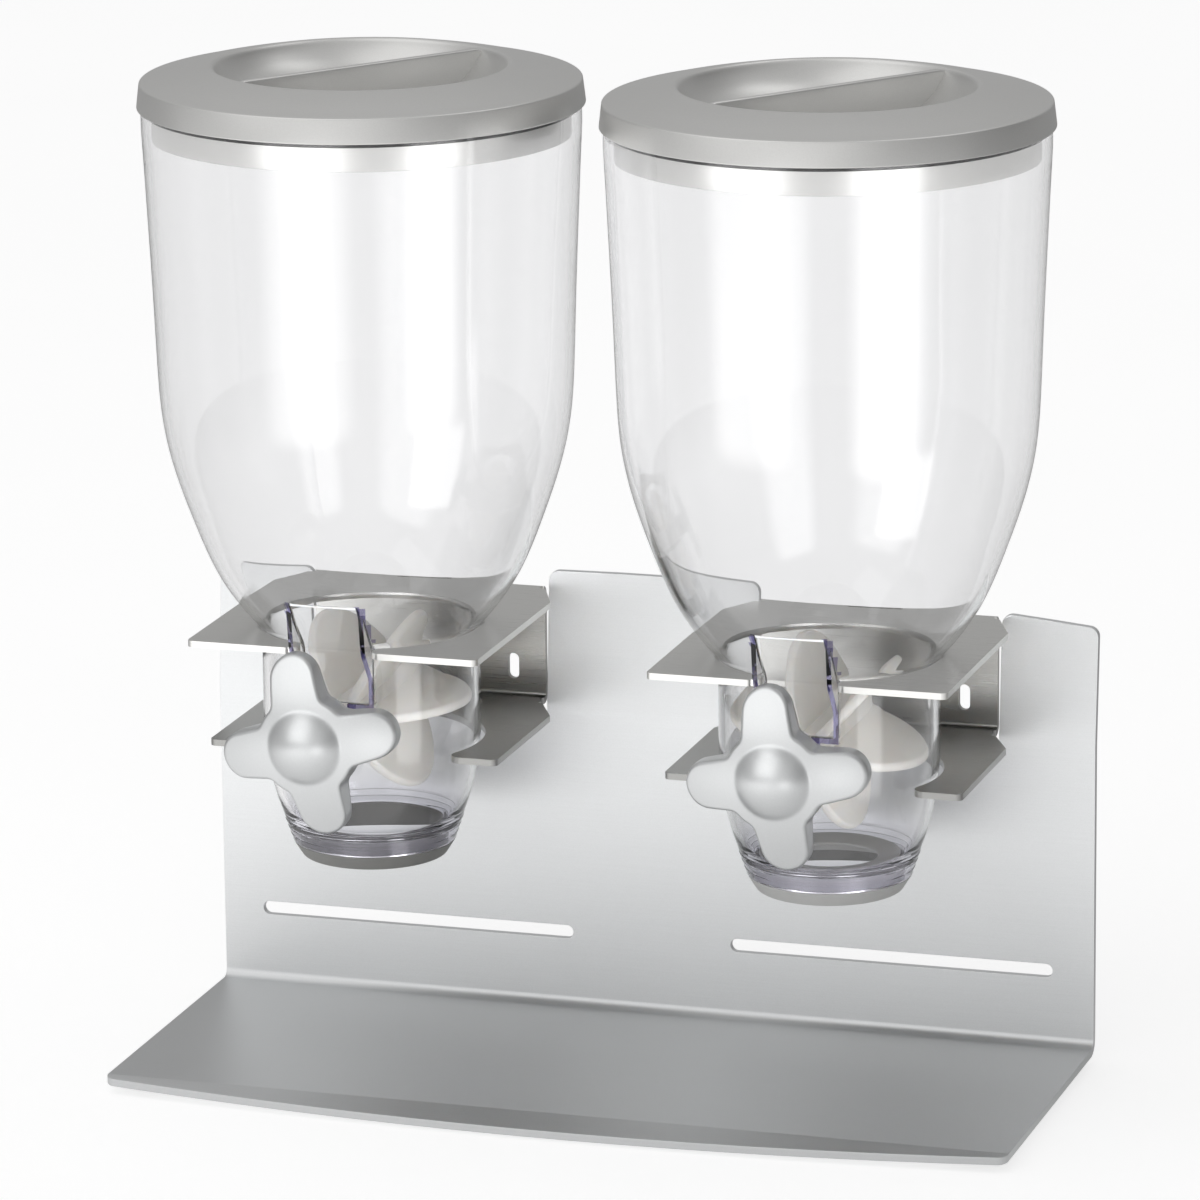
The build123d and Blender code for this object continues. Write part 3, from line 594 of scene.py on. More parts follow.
def make_gate(side, cx):
    lo, hi = SLOT_LO + T + 0.1, SLOT_HI + T - 0.1
    band = 1.3
    k = band / (hi - T - 168.2)
    outline = filleted([(-41.6, lo), (-41.6, T + 168.2), (-55.4 + 13.8 * k, hi - band), (-55.4, hi), (-53.2, hi), (-53.2 + 13.6 * k, hi - band),
                        (-39.6, T + 168.8), (-39.6, lo)], [0.2, 3.0, 0, 0.2, 0.2, 0, 5.0, 0.2])
    bm = prism_bm(outline, cx - 13.4, cx + 13.4, "X")
    bevel_bm(bm, 0.2, 2, 50.0)
    # the upper edge takes an opaque near-white matt colour, a painted highlight for the light it reflects from above
    bm.normal_update()
    for f in bm.faces:
        c = f.calc_center_median()
        f.material_index = 1 if c.z > hi - band + 0.02 and abs(f.normal.x) < 0.6 else 0
    ob = flat_faces_lead(finish_mesh("gate_plate_" + side, bm, [M_GATE, M_GATE_TOP_HIGHLIGHT], 30.0))
    return put(ob, "dispenser_" + side, "clear_plastic", "front_gate_" + side)


FIN_DEG = 54.0


def make_lid(side, cx):
    SK, SKZ, SH, SHZ = 85.5, 373.7, 84.0, 383.1
    DR, DZ, PR, PZ = 56.9, 389.1, 79.9, 362.5
    rest = RIM_TOP + 0.02
    deep = DZ - 22.0
    skirt = filleted([(SK - 1.3, SKZ), (SK, SKZ), (SH + 0.35, SHZ + 0.15), (DR + 0.5, DZ)], [0.5, 0.45, 0.9, 0.0])[:-1]
    top = spline([(83.2, SHZ + 0.42), (80.0, SHZ + 1.15), (74.5, SHZ + 2.5), (68.0, SHZ + 3.95), (61.5, SHZ + 5.25), (DR + 1.9, SHZ + 5.78)], 12)
    lip = [(DR + 1.1, DZ - 0.06), (DR + 0.3, DZ), (DR - 0.45, DZ - 0.22), (DR - 1.05, DZ - 0.75), (DR - 1.5, DZ - 1.6)]
    dish = spline([(DR - 2.0, DZ - 2.6), (51.0, DZ - 7.8), (40.0, DZ - 15.0), (22.0, DZ - 20.6), (8.0, deep + 0.12), (0.0, deep)], 30)
    under = spline([(0.0, deep - 2.0), (22.6, DZ - 22.7), (41.2, DZ - 16.9), (53.0, DZ - 9.2), (57.4, DZ - 3.4)], 22)
    plug = [(66.0, DZ - 4.9), (PR - 2.6, rest + 2.0), (PR - 1.75, rest + 1.2), (PR - 1.6, rest + 0.3), (PR - 1.6, 372.0), (PR - 1.6, PZ + 0.5),
            (PR - 1.45, PZ + 0.1), (PR - 1.1, PZ), (PR - 0.5, PZ), (PR - 0.1, PZ + 0.15), (PR, PZ + 0.6),
            (PR, 366.0), (PR, 371.4), (PR, rest - 0.2), (PR + 0.2, rest), (SK - 1.5, rest), (SK - 1.3, rest - 0.2), (SK - 1.3, 376.0)]
    prof = [(r, z + T) for r, z in skirt + top + lip + dish + under + plug]
    base = lathe_bm(prof, 144)
    fin = [(-(DR - 0.9), DZ - 1.0), (-(DR - 3.5), DZ - 0.35), (DR - 3.5, DZ - 0.35), (DR - 0.9, DZ - 1.0), (52.2, DZ - 8.4), (40.4, DZ - 16.3),
           (22.2, DZ - 21.9), (0.0, deep - 1.1), (-22.2, DZ - 21.9), (-40.4, DZ - 16.3), (-52.2, DZ - 8.4)]
    fbm = prism_bm([(x, z + T) for x, z in fin], -1.35, 1.35, "Y")
    tops = [e for e in fbm.edges if all(v.co.z > DZ + T - 1.2 for v in e.verts) and abs(e.verts[0].co.y - e.verts[1].co.y) < 0.01]
    bmesh.ops.bevel(fbm, geom=tops, offset=0.9, offset_type="OFFSET", segments=4, profile=0.5, affect="EDGES")
    bmesh.ops.rotate(fbm, cent=(0, 0, 0), matrix=Matrix.Rotation(math.radians(FIN_DEG), 3, "Z"), verts=fbm.verts)
    bm = boolean(base, [("UNION", fbm)])
    bmesh.ops.remove_doubles(bm, verts=bm.verts, dist=0.0005)
    bmesh.ops.translate(bm, verts=bm.verts, vec=(cx, 0, 0))
    ob = finish_mesh("lid_shell_" + side, bm, [M_LID], 34.0)
    return put(ob, "cover_" + side, "silver_plastic", "lid_" + side)


def make_seal(side, cx):
    r0, r1 = 79.92, 81.34
    prof = filleted([(r0, 371.9), (r1 - 0.2, 371.9), (r1, 372.3), (r1, 372.9), (r1 - 0.2, 373.4), (r0, 373.4)], 0.2, 20)
    ob = lathe("lid_ring_seal_" + side, [(r, z + T) for r, z in prof], 144, cx, [M_SEAL], True, 40)
    return put(ob, "cover_" + side, "seal_rubber", "lid_seal_" + side)


WHEEL_R, BLADE_T, HUB_R = 38.6, 3.6, 8.0


def make_wheel(side, cx, deg):
    """Six half-round blades with round rims on a hub with rounded ends."""
    def blade_bm(k):
        n = 48
        # outline in (out, along shaft), section rounded at the rim
        sect = [(0.0, BLADE_T / 2), (0.55, BLADE_T / 2 * 0.97), (1.05, BLADE_T / 2 * 0.82), (1.42, BLADE_T / 2 * 0.55), (1.6, BLADE_T / 2 * 0.2),
                (1.6, -BLADE_T / 2 * 0.2), (1.42, -BLADE_T / 2 * 0.55), (1.05, -BLADE_T / 2 * 0.82), (0.55, -BLADE_T / 2 * 0.97), (0.0, -BLADE_T / 2)]
        bm = bmesh.new()
        a0 = math.asin(min(1.0, 5.0 / WHEEL_R))
        cols = []
        for i in range(n + 1):
            th = -math.pi / 2 + a0 + (math.pi - 2 * a0) * i / n
            col = []
            for d, h in sect:
                rr = WHEEL_R - 1.6 + d
                col.append(bm.verts.new((max(5.0, rr * math.cos(th)), rr * math.sin(th), h)))
            cols.append(col)
        # inner rows of the two flat sides, running in towards the hub
        rows = []
        for sgn in (0, -1):
            side_rows = []
            for f in (0.72, 0.42, 0.0):
                row = []
                for i in range(n + 1):
                    v = cols[i][sgn]
                    x = 5.0 + (v.co.x - 5.0) * f
                    row.append(bm.verts.new((x, v.co.y, v.co.z)))
                side_rows.append(row)
            rows.append(side_rows)
        for i in range(n):
            for j in range(len(sect) - 1):
                bm.faces.new((cols[i][j], cols[i + 1][j], cols[i + 1][j + 1], cols[i][j + 1]))
            for sgn, side_rows in zip((0, -1), rows):
                prev = [cols[i][sgn], cols[i + 1][sgn]]
                for row in side_rows:
                    cur = [row[i], row[i + 1]]
                    bm.faces.new((prev[0], prev[1], cur[1], cur[0]))
                    prev = cur
        # close the inner edge
        top, bot = rows[0][-1], rows[1][-1]
        for i in range(n):
            bm.faces.new((top[i], top[i + 1], bot[i + 1], bot[i]))
        for i in (0, n):
            ring = [cols[i][j] for j in range(len(sect))]
            loop = ring + [rows[1][0][i], rows[1][1][i], rows[1][2][i], rows[0][2][i], rows[0][1][i], rows[0][0][i]]
            bm.faces.new(loop)
        bmesh.ops.remove_doubles(bm, verts=bm.verts, dist=0.0005)
        bmesh.ops.dissolve_degenerate(bm, edges=bm.edges, dist=0.0005)
        bmesh.ops.recalc_face_normals(bm, faces=bm.faces)
        bmesh.ops.rotate(bm, cent=(0, 0, 0), matrix=Matrix.Rotation(-math.radians(deg + 60.0 * k), 3, "Y"), verts=bm.verts)
        bmesh.ops.translate(bm, verts=bm.verts, vec=(0, 0, SHAFT_Z))
        return bm

    hub = bevel_bm(rod_bm(-35.6, 35.6, 0, SHAFT_Z, HUB_R, 48), 0.8, 3, 50.0)
    steps = [("UNION", blade_bm(k)) for k in range(6)]
    steps += [("DIFFERENCE", rod_bm(35.62, 60, 0, SHAFT_Z, 9.5, 36)), ("DIFFERENCE", rod_bm(-60, -35.62, 0, SHAFT_Z, 9.5, 36)),
              ("DIFFERENCE", rod_bm(-50, 50, 0, SHAFT_Z, 3.72, 6))]
    bm = boolean(hub, steps)
    bmesh.ops.remove_doubles(bm, verts=bm.verts, dist=0.0005)
    bmesh.ops.translate(bm, verts=bm.verts, vec=(cx, 0, 0))
    ob = flat_faces_lead(finish_mesh("soft_paddle_wheel_" + side, bm, [M_WHEEL], 34.0))
    return put(ob, "rotor_" + side, "wheel_soft", "paddle_wheel_" + side)


LOBE_R, LOBE_C, LOBE_DEG, KNOB_CORE, KNOB_FILLET = 9.1, 26.4, 6.0, 19.4, 4.5
KNOB_BACK, KNOB_CROWN, KNOB_SPHERE = 67.0, 80.6, 89.0       # distances in front of the axis
BOSS_R, BOSS_TOP = 14.2, 85.4


def knob_outline(step=0.85):
    """Four round-tipped lobes whose sides open towards a round core, as evenly spaced points about the centre."""
    a = math.radians(LOBE_DEG)
    nx, ny = math.sin(a), math.cos(a)
    psi = math.pi / 2 - a
    h = LOBE_C * nx + LOBE_R
    out = KNOB_CORE + KNOB_FILLET
    phi = psi - math.acos((h + KNOB_FILLET) / out)
    q = (out * math.cos(phi), out * math.sin(phi))

    def arc(cx, cy, r, t0, t1):
        d = (t1 - t0 + math.pi) % (2 * math.pi) - math.pi
        k = max(4, int(abs(d) * r / 0.15))
        return [(cx + r * math.cos(t0 + d * i / k), cy + r * math.sin(t0 + d * i / k)) for i in range(k)]

    one = [(LOBE_C + LOBE_R * math.cos(t), LOBE_R * math.sin(t)) for t in np.linspace(-psi, psi, 240)]
    p0 = np.array([LOBE_C + LOBE_R * nx, LOBE_R * ny])
    p1 = np.array([q[0] - KNOB_FILLET * nx, q[1] - KNOB_FILLET * ny])
    one += [tuple(p0 + (p1 - p0) * t) for t in np.linspace(0, 1, 60)[1:-1]]
    one += arc(q[0], q[1], KNOB_FILLET, math.atan2(-ny, -nx), math.atan2(-q[1], -q[0]))
    one += arc(0, 0, KNOB_CORE, phi, math.pi / 2 - phi)
    one += arc(q[1], q[0], KNOB_FILLET, math.atan2(-q[0], -q[1]), math.atan2(-nx, -ny))
    p2, p3 = p1[::-1], p0[::-1]
    one += [tuple(p2 + (p3 - p2) * t) for t in np.linspace(0, 1, 60)[:-1]]
    pts = []
    for k in range(4):
        c, sn = (1, 0, -1, 0)[k], (0, 1, 0, -1)[k]
        pts += [(x * c - y * sn, x * sn + y * c) for x, y in one]
    P = np.array(pts + pts[:1])
    t = np.concatenate([[0], np.cumsum(np.linalg.norm(np.diff(P, axis=0), axis=1))])
    n = int(t[-1] / step / 4) * 4
    u = np.linspace(0, t[-1], n, endpoint=False)
    return np.stack([np.interp(u, t, P[:, 0]), np.interp(u, t, P[:, 1])], 1)


def make_knob(side, cx, deg):
    line = knob_outline()
    n = len(line)
    tan = np.roll(line, -1, 0) - np.roll(line, 1, 0)
    tan /= np.linalg.norm(tan, axis=1)[:, None]
    inward = np.stack([-tan[:, 1], tan[:, 0]], 1)
    crown = KNOB_CROWN - KNOB_BACK
    base = crown - (KNOB_SPHERE - math.sqrt(KNOB_SPHERE ** 2 - BOSS_R ** 2))
    high = BOSS_TOP - KNOB_BACK - base
    cap = (BOSS_R ** 2 + high ** 2) / (2 * high)

    def front(r):
        """The crowned front, with the round boss blended into it."""
        a = crown - (KNOB_SPHERE - math.sqrt(KNOB_SPHERE ** 2 - r * r))
        b = base + high - cap + math.sqrt(max(0.0, cap * cap - r * r)) if r < cap else -50.0
        k = 0.7
        e = max(k - abs(a - b), 0.0) / k
        return max(a, b) + e * e * k * 0.25

    bm = bmesh.new()
    rings = []

    def ring(pts, heights):
        rings.append([bm.verts.new((x, y, h)) for (x, y), h in zip(pts, np.broadcast_to(heights, (n,)))])

    for f in (0.25, 0.55, 0.85):
        ring(line * f * 0.985, 0.0)
    ring(line + inward * 0.85, 0.0)
    ring(line + inward * 0.35, 0.12)
    ring(line + inward * 0.10, 0.5)
    for f in (0.34, 0.67):
        ring(line, [f * (front(math.hypot(*p)) - 1.3) for p in line])
    R = 1.25
    for a in (0, 15, 30, 45, 60, 75, 90):
        t = math.radians(a)
        pts = line + inward * (R * (1 - math.cos(t)))
        ring(pts, [front(math.hypot(*p)) - R * (1 - math.sin(t)) for p in pts])
    edge = line + inward * R
    er = np.linalg.norm(edge, axis=1)
    unit = edge / er[:, None]
    for u in (0.97, 0.9, 0.78, 0.64, 0.5, 0.37, 0.25, 0.14, 0.06, 0.0):
        rr = 16.9 + (er - 16.9) * u
        ring(unit * rr[:, None], [front(v) for v in rr])
    for v in (16.2, 15.5, 15.0, 14.6, 14.2, 13.8, 13.3, 12.6, 11.6, 10.3, 8.7, 6.8, 4.7, 2.4):
        ring(unit * v, front(v))
    for a, b in zip(rings[:-1], rings[1:]):
        for i in range(n):
            j = (i + 1) % n
            bm.faces.new((a[i], a[j], b[j], b[i]))
    tip, back = bm.verts.new((0, 0, front(0.0))), bm.verts.new((0, 0, 0))
    for i in range(n):
        j = (i + 1) % n
        bm.faces.new((rings[-1][i], rings[-1][j], tip))
        bm.faces.new((rings[0][j], rings[0][i], back))
    bmesh.ops.recalc_face_normals(bm, faces=bm.faces)
    # turn about the shaft, then stand the knob up with its front towards -Y
    bmesh.ops.rotate(bm, cent=(0, 0, 0), matrix=Matrix.Rotation(math.radians(deg), 3, "Z"), verts=bm.verts)
    bmesh.ops.rotate(bm, cent=(0, 0, 0), matrix=Matrix.Rotation(math.radians(90), 3, "X"), verts=bm.verts)
    bmesh.ops.translate(bm, verts=bm.verts, vec=(0, -KNOB_BACK, SHAFT_Z))
    hub = bevel_bm(rod_bm(-68.0, -46.8, 0, SHAFT_Z, 8.6, 48), 0.7, 3, 50.0)
    bm = boolean(bm, [("UNION", hub), ("DIFFERENCE", rod_bm(-66.1, -40, 0, SHAFT_Z, 4.52, 36)),
                      ("DIFFERENCE", box_bm(-2.82, 2.82, -75.1, -65.6, SHAFT_Z - 2.82, SHAFT_Z + 2.82))])
    bmesh.ops.remove_doubles(bm, verts=bm.verts, dist=0.0005)
    bmesh.ops.translate(bm, verts=bm.verts, vec=(cx, 0, 0))
    ob = finish_mesh("grip_knob_" + side, bm, [M_KNOB], 40.0)
    return put(ob, "rotor_" + side, "knob_silver", "knob_" + side)


def make_collar(side, cx):
    top = 84.28
    prof = filleted([(26.2, 78.3), (28.2, 78.3), (31.75, top - 0.3), (31.5, top), (27.75, top), (27.75, 90.2), (26.2, 90.2)],
                    [0.4, 1.2, 0.25, 0.2, 0.2, 0.35, 0.35], 18)
    ob = lathe("outlet_ring_" + side, [(r, z + T) for r, z in prof], 128, cx, [M_COLLAR[side], M_BORE_PAINTED_SHADE], True, 34)
    # painted shade: the bore faces inside the outlet take the darker copy
    for f in ob.data.polygons:
        f.material_index = 1 if math.hypot(f.center.x - cx * MM, f.center.y) < 27.6 * MM and f.normal.z < 0.5 else 0
    return put(ob, "dispenser_" + side, "collar_gray", "outlet_collar_" + side)


def make_reducer(cx):
    prof = filleted([(26.14, 85.0), (26.14, 90.22), (27.7, 90.22), (27.7, 91.4), (27.0, 91.95), (18.9, 90.2), (18.6, 89.5), (19.0, 88.9), (24.6, 89.6), (24.6, 85.0)],
                    [0.3, 0.05, 0.2, 0.4, 0.8, 0.5, 0.3, 0.3, 0.5, 0.3], 18)
    ob = lathe("portion_ring_right", [(r, z + T) for r, z in prof], 128, cx, [M_REDUCER], True, 34)
    return put(ob, "dispenser_right", "reducer_gray", "outlet_reducer_right")


# ------------------------------------------------------------------ build
from_cad("stand_panel", "stand_sheet_panel", M_STAND, 0.35, "stand", "stand_sheet")
from_cad("bracket_left", "ring_bracket_left", M_BRACKET, 0.3, "stand", "bracket_sheet")
from_cad("bracket_right", "ring_bracket_right", M_BRACKET, 0.3, "stand", "bracket_sheet")

for label, x, y in (("front_left", -166.0, -122.0), ("front_right", 166.0, -122.0), ("rear_left", -166.0, -14.0), ("rear_right", 166.0, -14.0)):
    prof = filleted([(0.0, 0.0), (6.5, 0.0), (6.5, 4.0), (0.0, 4.0)], [0, 1.0, 0.25, 0], 15)
    bm = lathe_bm(prof, 48)
    bmesh.ops.translate(bm, verts=bm.verts, vec=(x, y + PANEL_Y, 0))
    put(finish_mesh("rubber_foot_" + label, bm, [M_FOOT], 40), "stand", "foot_rubber", "foot_" + label)

for side, s, blade, turn in (("left", -1, 2.0, 12.3), ("right", 1, 47.0, 8.0)):
    cx = s * AX
    make_canister(side, cx)
    make_gate(side, cx)
    make_lid(side, cx)
    make_seal(side, cx)
    make_wheel(side, cx, blade)
    make_knob(side, cx, turn)
    make_collar(side, cx)
    shaft = frame["nodes"]["drive_shaft_" + side]
    if not shaft.data.materials:
        shaft.data.materials.append(M_SHAFT)
    for sl in shaft.material_slots:
        sl.link = "OBJECT"
        sl.material = M_SHAFT
make_reducer(AX)

# ------------------------------------------------------------------ stage
def seen_directly(m):
    """1 for rays that reach the eye straight or through clear plastic, 0 for reflections and soft light."""
    lp = m.node("ShaderNodeLightPath")
    mx = m.node("ShaderNodeMath", operation="MAXIMUM")
    m.link(lp.outputs["Is Camera Ray"], mx.inputs[0])
    m.link(lp.outputs["Is Transmission Ray"], mx.inputs[1])
    return mx.outputs[0]


def stage_material():
    """Pale table. It glows a little so that it stays even and pale, and its front is the brighter half in reflections."""
    m = NT("floor_pale")
    n = m.noise(m.coords((1, 1, 1)), 3.0, 3.0, 0.5)
    col = m.ramp(m.remap(n, 0.0, 1.0, 0.3, 0.7), [(0.0, grey(FLOOR_DIFFUSE * 0.985)), (1.0, grey(FLOOR_DIFFUSE * 1.015))])
    p = m.principled(Base_Color=col, Roughness=0.7)
    p.inputs["Specular IOR Level"].default_value = 0.1
    tc = m.node("ShaderNodeTexCoord")
    sp = m.node("ShaderNodeSeparateXYZ")
    m.link(tc.outputs["Object"], sp.inputs[0])
    fb = m.node("ShaderNodeMapRange", interpolation_type="SMOOTHSTEP")
    m.link(sp.outputs["Y"], fb.inputs["Value"])
    for k, v in (("From Min", -0.65), ("From Max", 0.38), ("To Min", FLOOR_FRONT), ("To Max", FLOOR_BACK)):
        fb.inputs[k].default_value = v
    lr = m.node("ShaderNodeMapRange", interpolation_type="SMOOTHSTEP")
    m.link(sp.outputs["X"], lr.inputs["Value"])
    for k, v in (("From Min", -0.6), ("From Max", 0.6), ("To Min", 1.0 + FLOOR_SIDE), ("To Max", 1.0 - FLOOR_SIDE)):
        lr.inputs[k].default_value = v
    far = m.node("ShaderNodeMapRange", interpolation_type="SMOOTHSTEP")
    m.link(sp.outputs["X"], far.inputs["Value"])
    for k, v in (("From Min", -0.95), ("From Max", -0.40), ("To Min", 0.2), ("To Max", 1.0)):
        far.inputs[k].default_value = v
    side = m.node("ShaderNodeMath", operation="MULTIPLY")
    m.link(lr.outputs[0], side.inputs[0])
    m.link(far.outputs[0], side.inputs[1])
    far2 = m.node("ShaderNodeMapRange", interpolation_type="SMOOTHSTEP")
    m.link(sp.outputs["X"], far2.inputs["Value"])
    for k, v in (("From Min", 0.6), ("From Max", 1.3), ("To Min", 1.0), ("To Max", 0.4)):
        far2.inputs[k].default_value = v
    side2 = m.node("ShaderNodeMath", operation="MULTIPLY")
    m.link(side.outputs[0], side2.inputs[0])
    m.link(far2.outputs[0], side2.inputs[1])
    off = m.node("ShaderNodeMapRange", interpolation_type="SMOOTHSTEP")
    m.link(sp.outputs["Y"], off.inputs["Value"])
    for k, v in (("From Min", -2.6), ("From Max", -0.9), ("To Min", 0.74), ("To Max", 1.0)):
        off.inputs[k].default_value = v
    side = m.node("ShaderNodeMath", operation="MULTIPLY")
    m.link(side2.outputs[0], side.inputs[0])
    m.link(off.outputs[0], side.inputs[1])
    mul = m.node("ShaderNodeMath", operation="MULTIPLY")
    m.link(fb.outputs[0], mul.inputs[0])
    m.link(side.outputs[0], mul.inputs[1])
    pick = m.node("ShaderNodeMix", data_type="FLOAT")
    m.link(seen_directly(m), pick.inputs[0])
    m.link(mul.outputs[0], pick.inputs[2])
    pick.inputs[3].default_value = FLOOR_SEEN
    m.link(pick.outputs[0], p.inputs["Emission Strength"])
    p.inputs["Emission Color"].default_value = (1, 1, 1, 1)
    return m.done(p.outputs[0])


FLOOR_DIFFUSE, FLOOR_SEEN, FLOOR_FRONT, FLOOR_BACK, FLOOR_SIDE = 0.50, 0.68, 1.15, 0.02, 0.36
SKY_FRONT, SKY_BACK, SKY_TOP, SKY_SIDE = 0.90, 0.38, 0.60, 0.04

bm = bmesh.new()
S = 14.0
vs = [bm.verts.new(p) for p in ((-S, -S, 0), (S, -S, 0), (S, S, 0), (-S, S, 0))]
bm.faces.new(vs)
me = bpy.data.meshes.new("floor_mesh")
bm.to_mesh(me)
bm.free()
floor = bpy.data.objects.new("floor", me)
bpy.context.scene.collection.objects.link(floor)
me.materials.append(stage_material())


def area(name, loc, target, sx, sy, radiance, only=None, soft=0.3):
    """Soft box of a given brightness. `only` lights no other pieces than these."""
    li = bpy.data.lights.new(name, "AREA")
    li.shape = "RECTANGLE"
    li.size, li.size_y = sx, sy
    li.energy = radiance * math.pi * sx * sy
    ob = bpy.data.objects.new(name, li)
    bpy.context.scene.collection.objects.link(ob)
    d = Vector(target) - Vector(loc)
    ob.matrix_world = Matrix.Translation(loc) @ d.to_track_quat("-Z", "Y").to_matrix().to_4x4()
    ob.visible_camera = False
    if only:
        # soft edges, so that the reflections fade out sideways
        li.use_nodes = True
        ln = li.node_tree
        em = next(x for x in ln.nodes if x.type == "EMISSION")
        g = ln.nodes.new("ShaderNodeNewGeometry")
        sp = ln.nodes.new("ShaderNodeSeparateXYZ")
        ln.links.new(g.outputs["Parametric"], sp.inputs[0])
        prev = None
        for sock, e in (("X", soft), ("Y", 0.12)):
            for a, b in ((0.0, e), (1.0, 1.0 - e)):
                r = ln.nodes.new("ShaderNodeMapRange")
                r.interpolation_type = "SMOOTHSTEP"
                ln.links.new(sp.outputs[sock], r.inputs["Value"])
                r.inputs["From Min"].default_value, r.inputs["From Max"].default_value = a, b
                if prev is None:
                    prev = r.outputs[0]
                else:
                    mu = ln.nodes.new("ShaderNodeMath")
                    mu.operation = "MULTIPLY"
                    ln.links.new(prev, mu.inputs[0])
                    ln.links.new(r.outputs[0], mu.inputs[1])
                    prev = mu.outputs[0]
        ln.links.new(prev, em.inputs["Strength"])
    if only:
        col = bpy.data.collections.new(name + "_lights_only")
        for o in only:
            col.objects.link(o)
        ob.light_linking.receiver_collection = col
    return ob


area("soft_top", (-0.5, -0.5, 1.9), (0, 0, 0.1), 1.4, 1.4, 0.6)
clear = [o for o in bpy.context.scene.objects if o.name.startswith(("clear_canister", "gate_plate"))]
D = 0.62
for name, a0, a1, radiance in (("window_left", -46.0, 9.0, 2.0), ("window_right", 30.0, 70.0, 2.4)):
    mid = math.radians((a0 + a1) / 2 )
    w = 2 * D * math.tan(math.radians(a1 - a0) / 2)
    area(name, (D * math.sin(mid), -D * math.cos(mid), 0.36), (0, 0, 0.36), w, 0.72, radiance, clear)

for side, s in (("left", -1), ("right", 1)):
    mine = [o for o in clear if o.name.endswith(side)]
    mid = math.radians(56.0)
    x = s * AX * MM
    area("neck_window_" + side, (x + 0.30 * math.sin(mid), -0.30 * math.cos(mid), 0.10), (x, 0, 0.10), 0.16, 0.2, 2.2, mine, 0.15)
lids = [o for o in bpy.context.scene.objects if o.name.startswith("lid_shell")]
area("lid_top", (0.42, 0.32, 1.35), (0, 0, 0.39), 0.6, 0.6, 1.1, lids, 0.4)
knobs = [o for o in bpy.context.scene.objects if o.name.startswith("grip_knob")]
for name, az, el, w, h, radiance, D in (("knob_key", -22.0, 30.0, 0.86, 0.72, 1.0, 0.7), ("knob_fill", 22.0, -9.0, 0.26, 0.12, 1.0, 0.42)):
    a, e = math.radians(az), math.radians(el)
    for side, s in (("left", -1), ("right", 1)):
        x = s * AX * MM
        area(name + "_" + side, (x + D * math.sin(a) * math.cos(e), -0.07 - D * math.cos(a) * math.cos(e), 0.148 + D * math.sin(e)), (x, -0.07, 0.148),
             w, h, radiance, [o for o in knobs if o.name.endswith(side)], 0.35)

world = bpy.data.worlds.new("studio")
bpy.context.scene.world = world
world.use_nodes = True
wt = world.node_tree
wt.nodes.clear()
wo = wt.nodes.new("ShaderNodeOutputWorld")
bg = wt.nodes.new("ShaderNodeBackground")
geo = wt.nodes.new("ShaderNodeTexCoord")
sep = wt.nodes.new("ShaderNodeSeparateXYZ")
wt.links.new(geo.outputs["Generated"], sep.inputs[0])


def world_range(sock, a, b, lo, hi):
    n = wt.nodes.new("ShaderNodeMapRange")
    n.interpolation_type = "SMOOTHSTEP"
    wt.links.new(sep.outputs[sock], n.inputs["Value"])
    for k, v in (("From Min", a), ("From Max", b), ("To Min", lo), ("To Max", hi)):
        n.inputs[k].default_value = v
    return n.outputs[0]


def world_math(op, a, b):
    n = wt.nodes.new("ShaderNodeMath")
    n.operation = op
    for i, v in enumerate((a, b)):
        if isinstance(v, bpy.types.NodeSocket):
            wt.links.new(v, n.inputs[i])
        else:
            n.inputs[i].default_value = v
    return n.outputs[0]


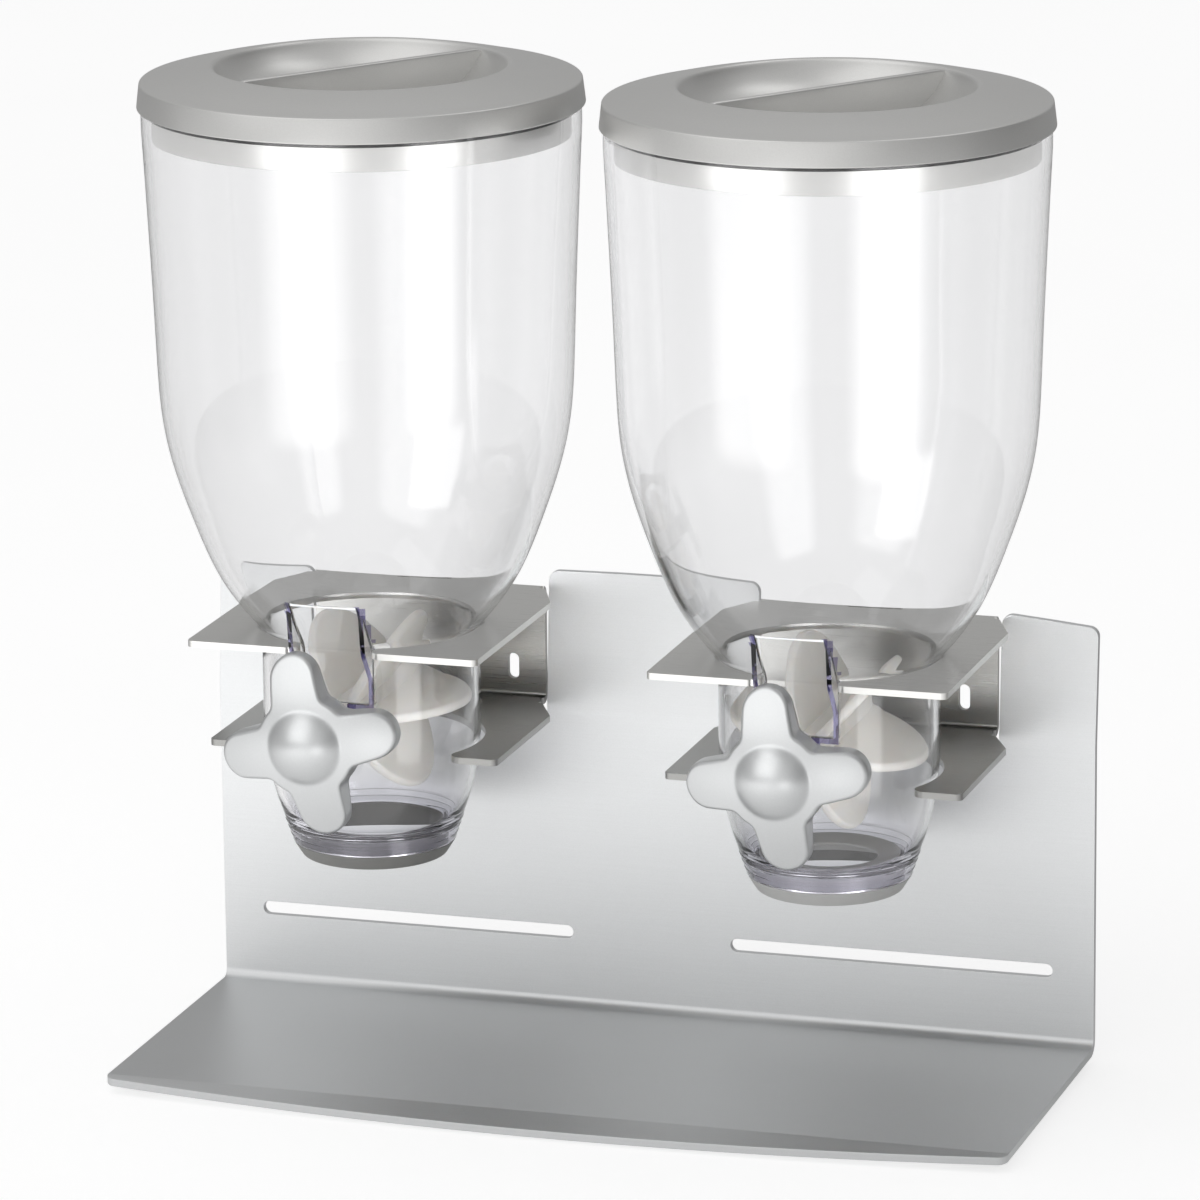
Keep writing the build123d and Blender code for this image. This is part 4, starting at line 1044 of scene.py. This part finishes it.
low = world_math("MULTIPLY", world_range("Y", -0.5, 0.5, SKY_FRONT, SKY_BACK), world_range("X", -0.9, 0.9, 1.0 + SKY_SIDE, 1.0 - SKY_SIDE))
low = world_math("MULTIPLY", low, world_range("X", -0.97, -0.6, 0.55, 1.0))
low = world_math("MULTIPLY", low, world_range("X", 0.25, 0.85, 1.0, 0.4))
high = world_range("Z", 0.35, 0.9, 0.0, 1.0)
blend = wt.nodes.new("ShaderNodeMix")
blend.data_type = "FLOAT"
wt.links.new(high, blend.inputs[0])
wt.links.new(low, blend.inputs[2])
wt.links.new(world_range("X", -0.6, 0.6, SKY_TOP * 1.05, SKY_TOP * 0.85), blend.inputs[3])
# what is seen straight, or through clear plastic, is as pale as the table
path = wt.nodes.new("ShaderNodeLightPath")
first = world_math("LESS_THAN", world_math("ADD", path.outputs["Diffuse Depth"], path.outputs["Glossy Depth"]), 0.5)
direct = world_math("MAXIMUM", path.outputs["Is Camera Ray"], world_math("MULTIPLY", path.outputs["Is Transmission Ray"], first))
shown = wt.nodes.new("ShaderNodeMix")
shown.data_type = "FLOAT"
wt.links.new(direct, shown.inputs[0])
wt.links.new(blend.outputs[0], shown.inputs[2])
shown.inputs[3].default_value = 0.96
wt.links.new(shown.outputs[0], bg.inputs["Strength"])
bg.inputs["Color"].default_value = (1, 1, 1, 1)
wt.links.new(bg.outputs[0], wo.inputs["Surface"])

# ----------------------------------------------------------------- camera
az, el, roll = math.radians(17.51), math.radians(14.34), math.radians(-0.62)
back = Vector((math.sin(az) * math.cos(el), -math.cos(az) * math.cos(el), math.sin(el)))
fwd = -back
right = fwd.cross(Vector((0, 0, 1))).normalized()
up = right.cross(fwd)
r2 = right * math.cos(roll) + up * math.sin(roll)
u2 = up * math.cos(roll) - right * math.sin(roll)
cam_data = bpy.data.cameras.new("camera")
cam_data.lens = 219.88
cam_data.sensor_width = 36.0
cam = bpy.data.objects.new("camera", cam_data)
bpy.context.scene.collection.objects.link(cam)
loc = Vector((0.8188, -2.6586 + 0.0664, 0.8868))
cam.matrix_world = Matrix(((r2.x, u2.x, back.x, loc.x), (r2.y, u2.y, back.y, loc.y), (r2.z, u2.z, back.z, loc.z), (0, 0, 0, 1)))
bpy.context.scene.camera = cam
bpy.context.scene.view_settings.view_transform = "Standard"

import json
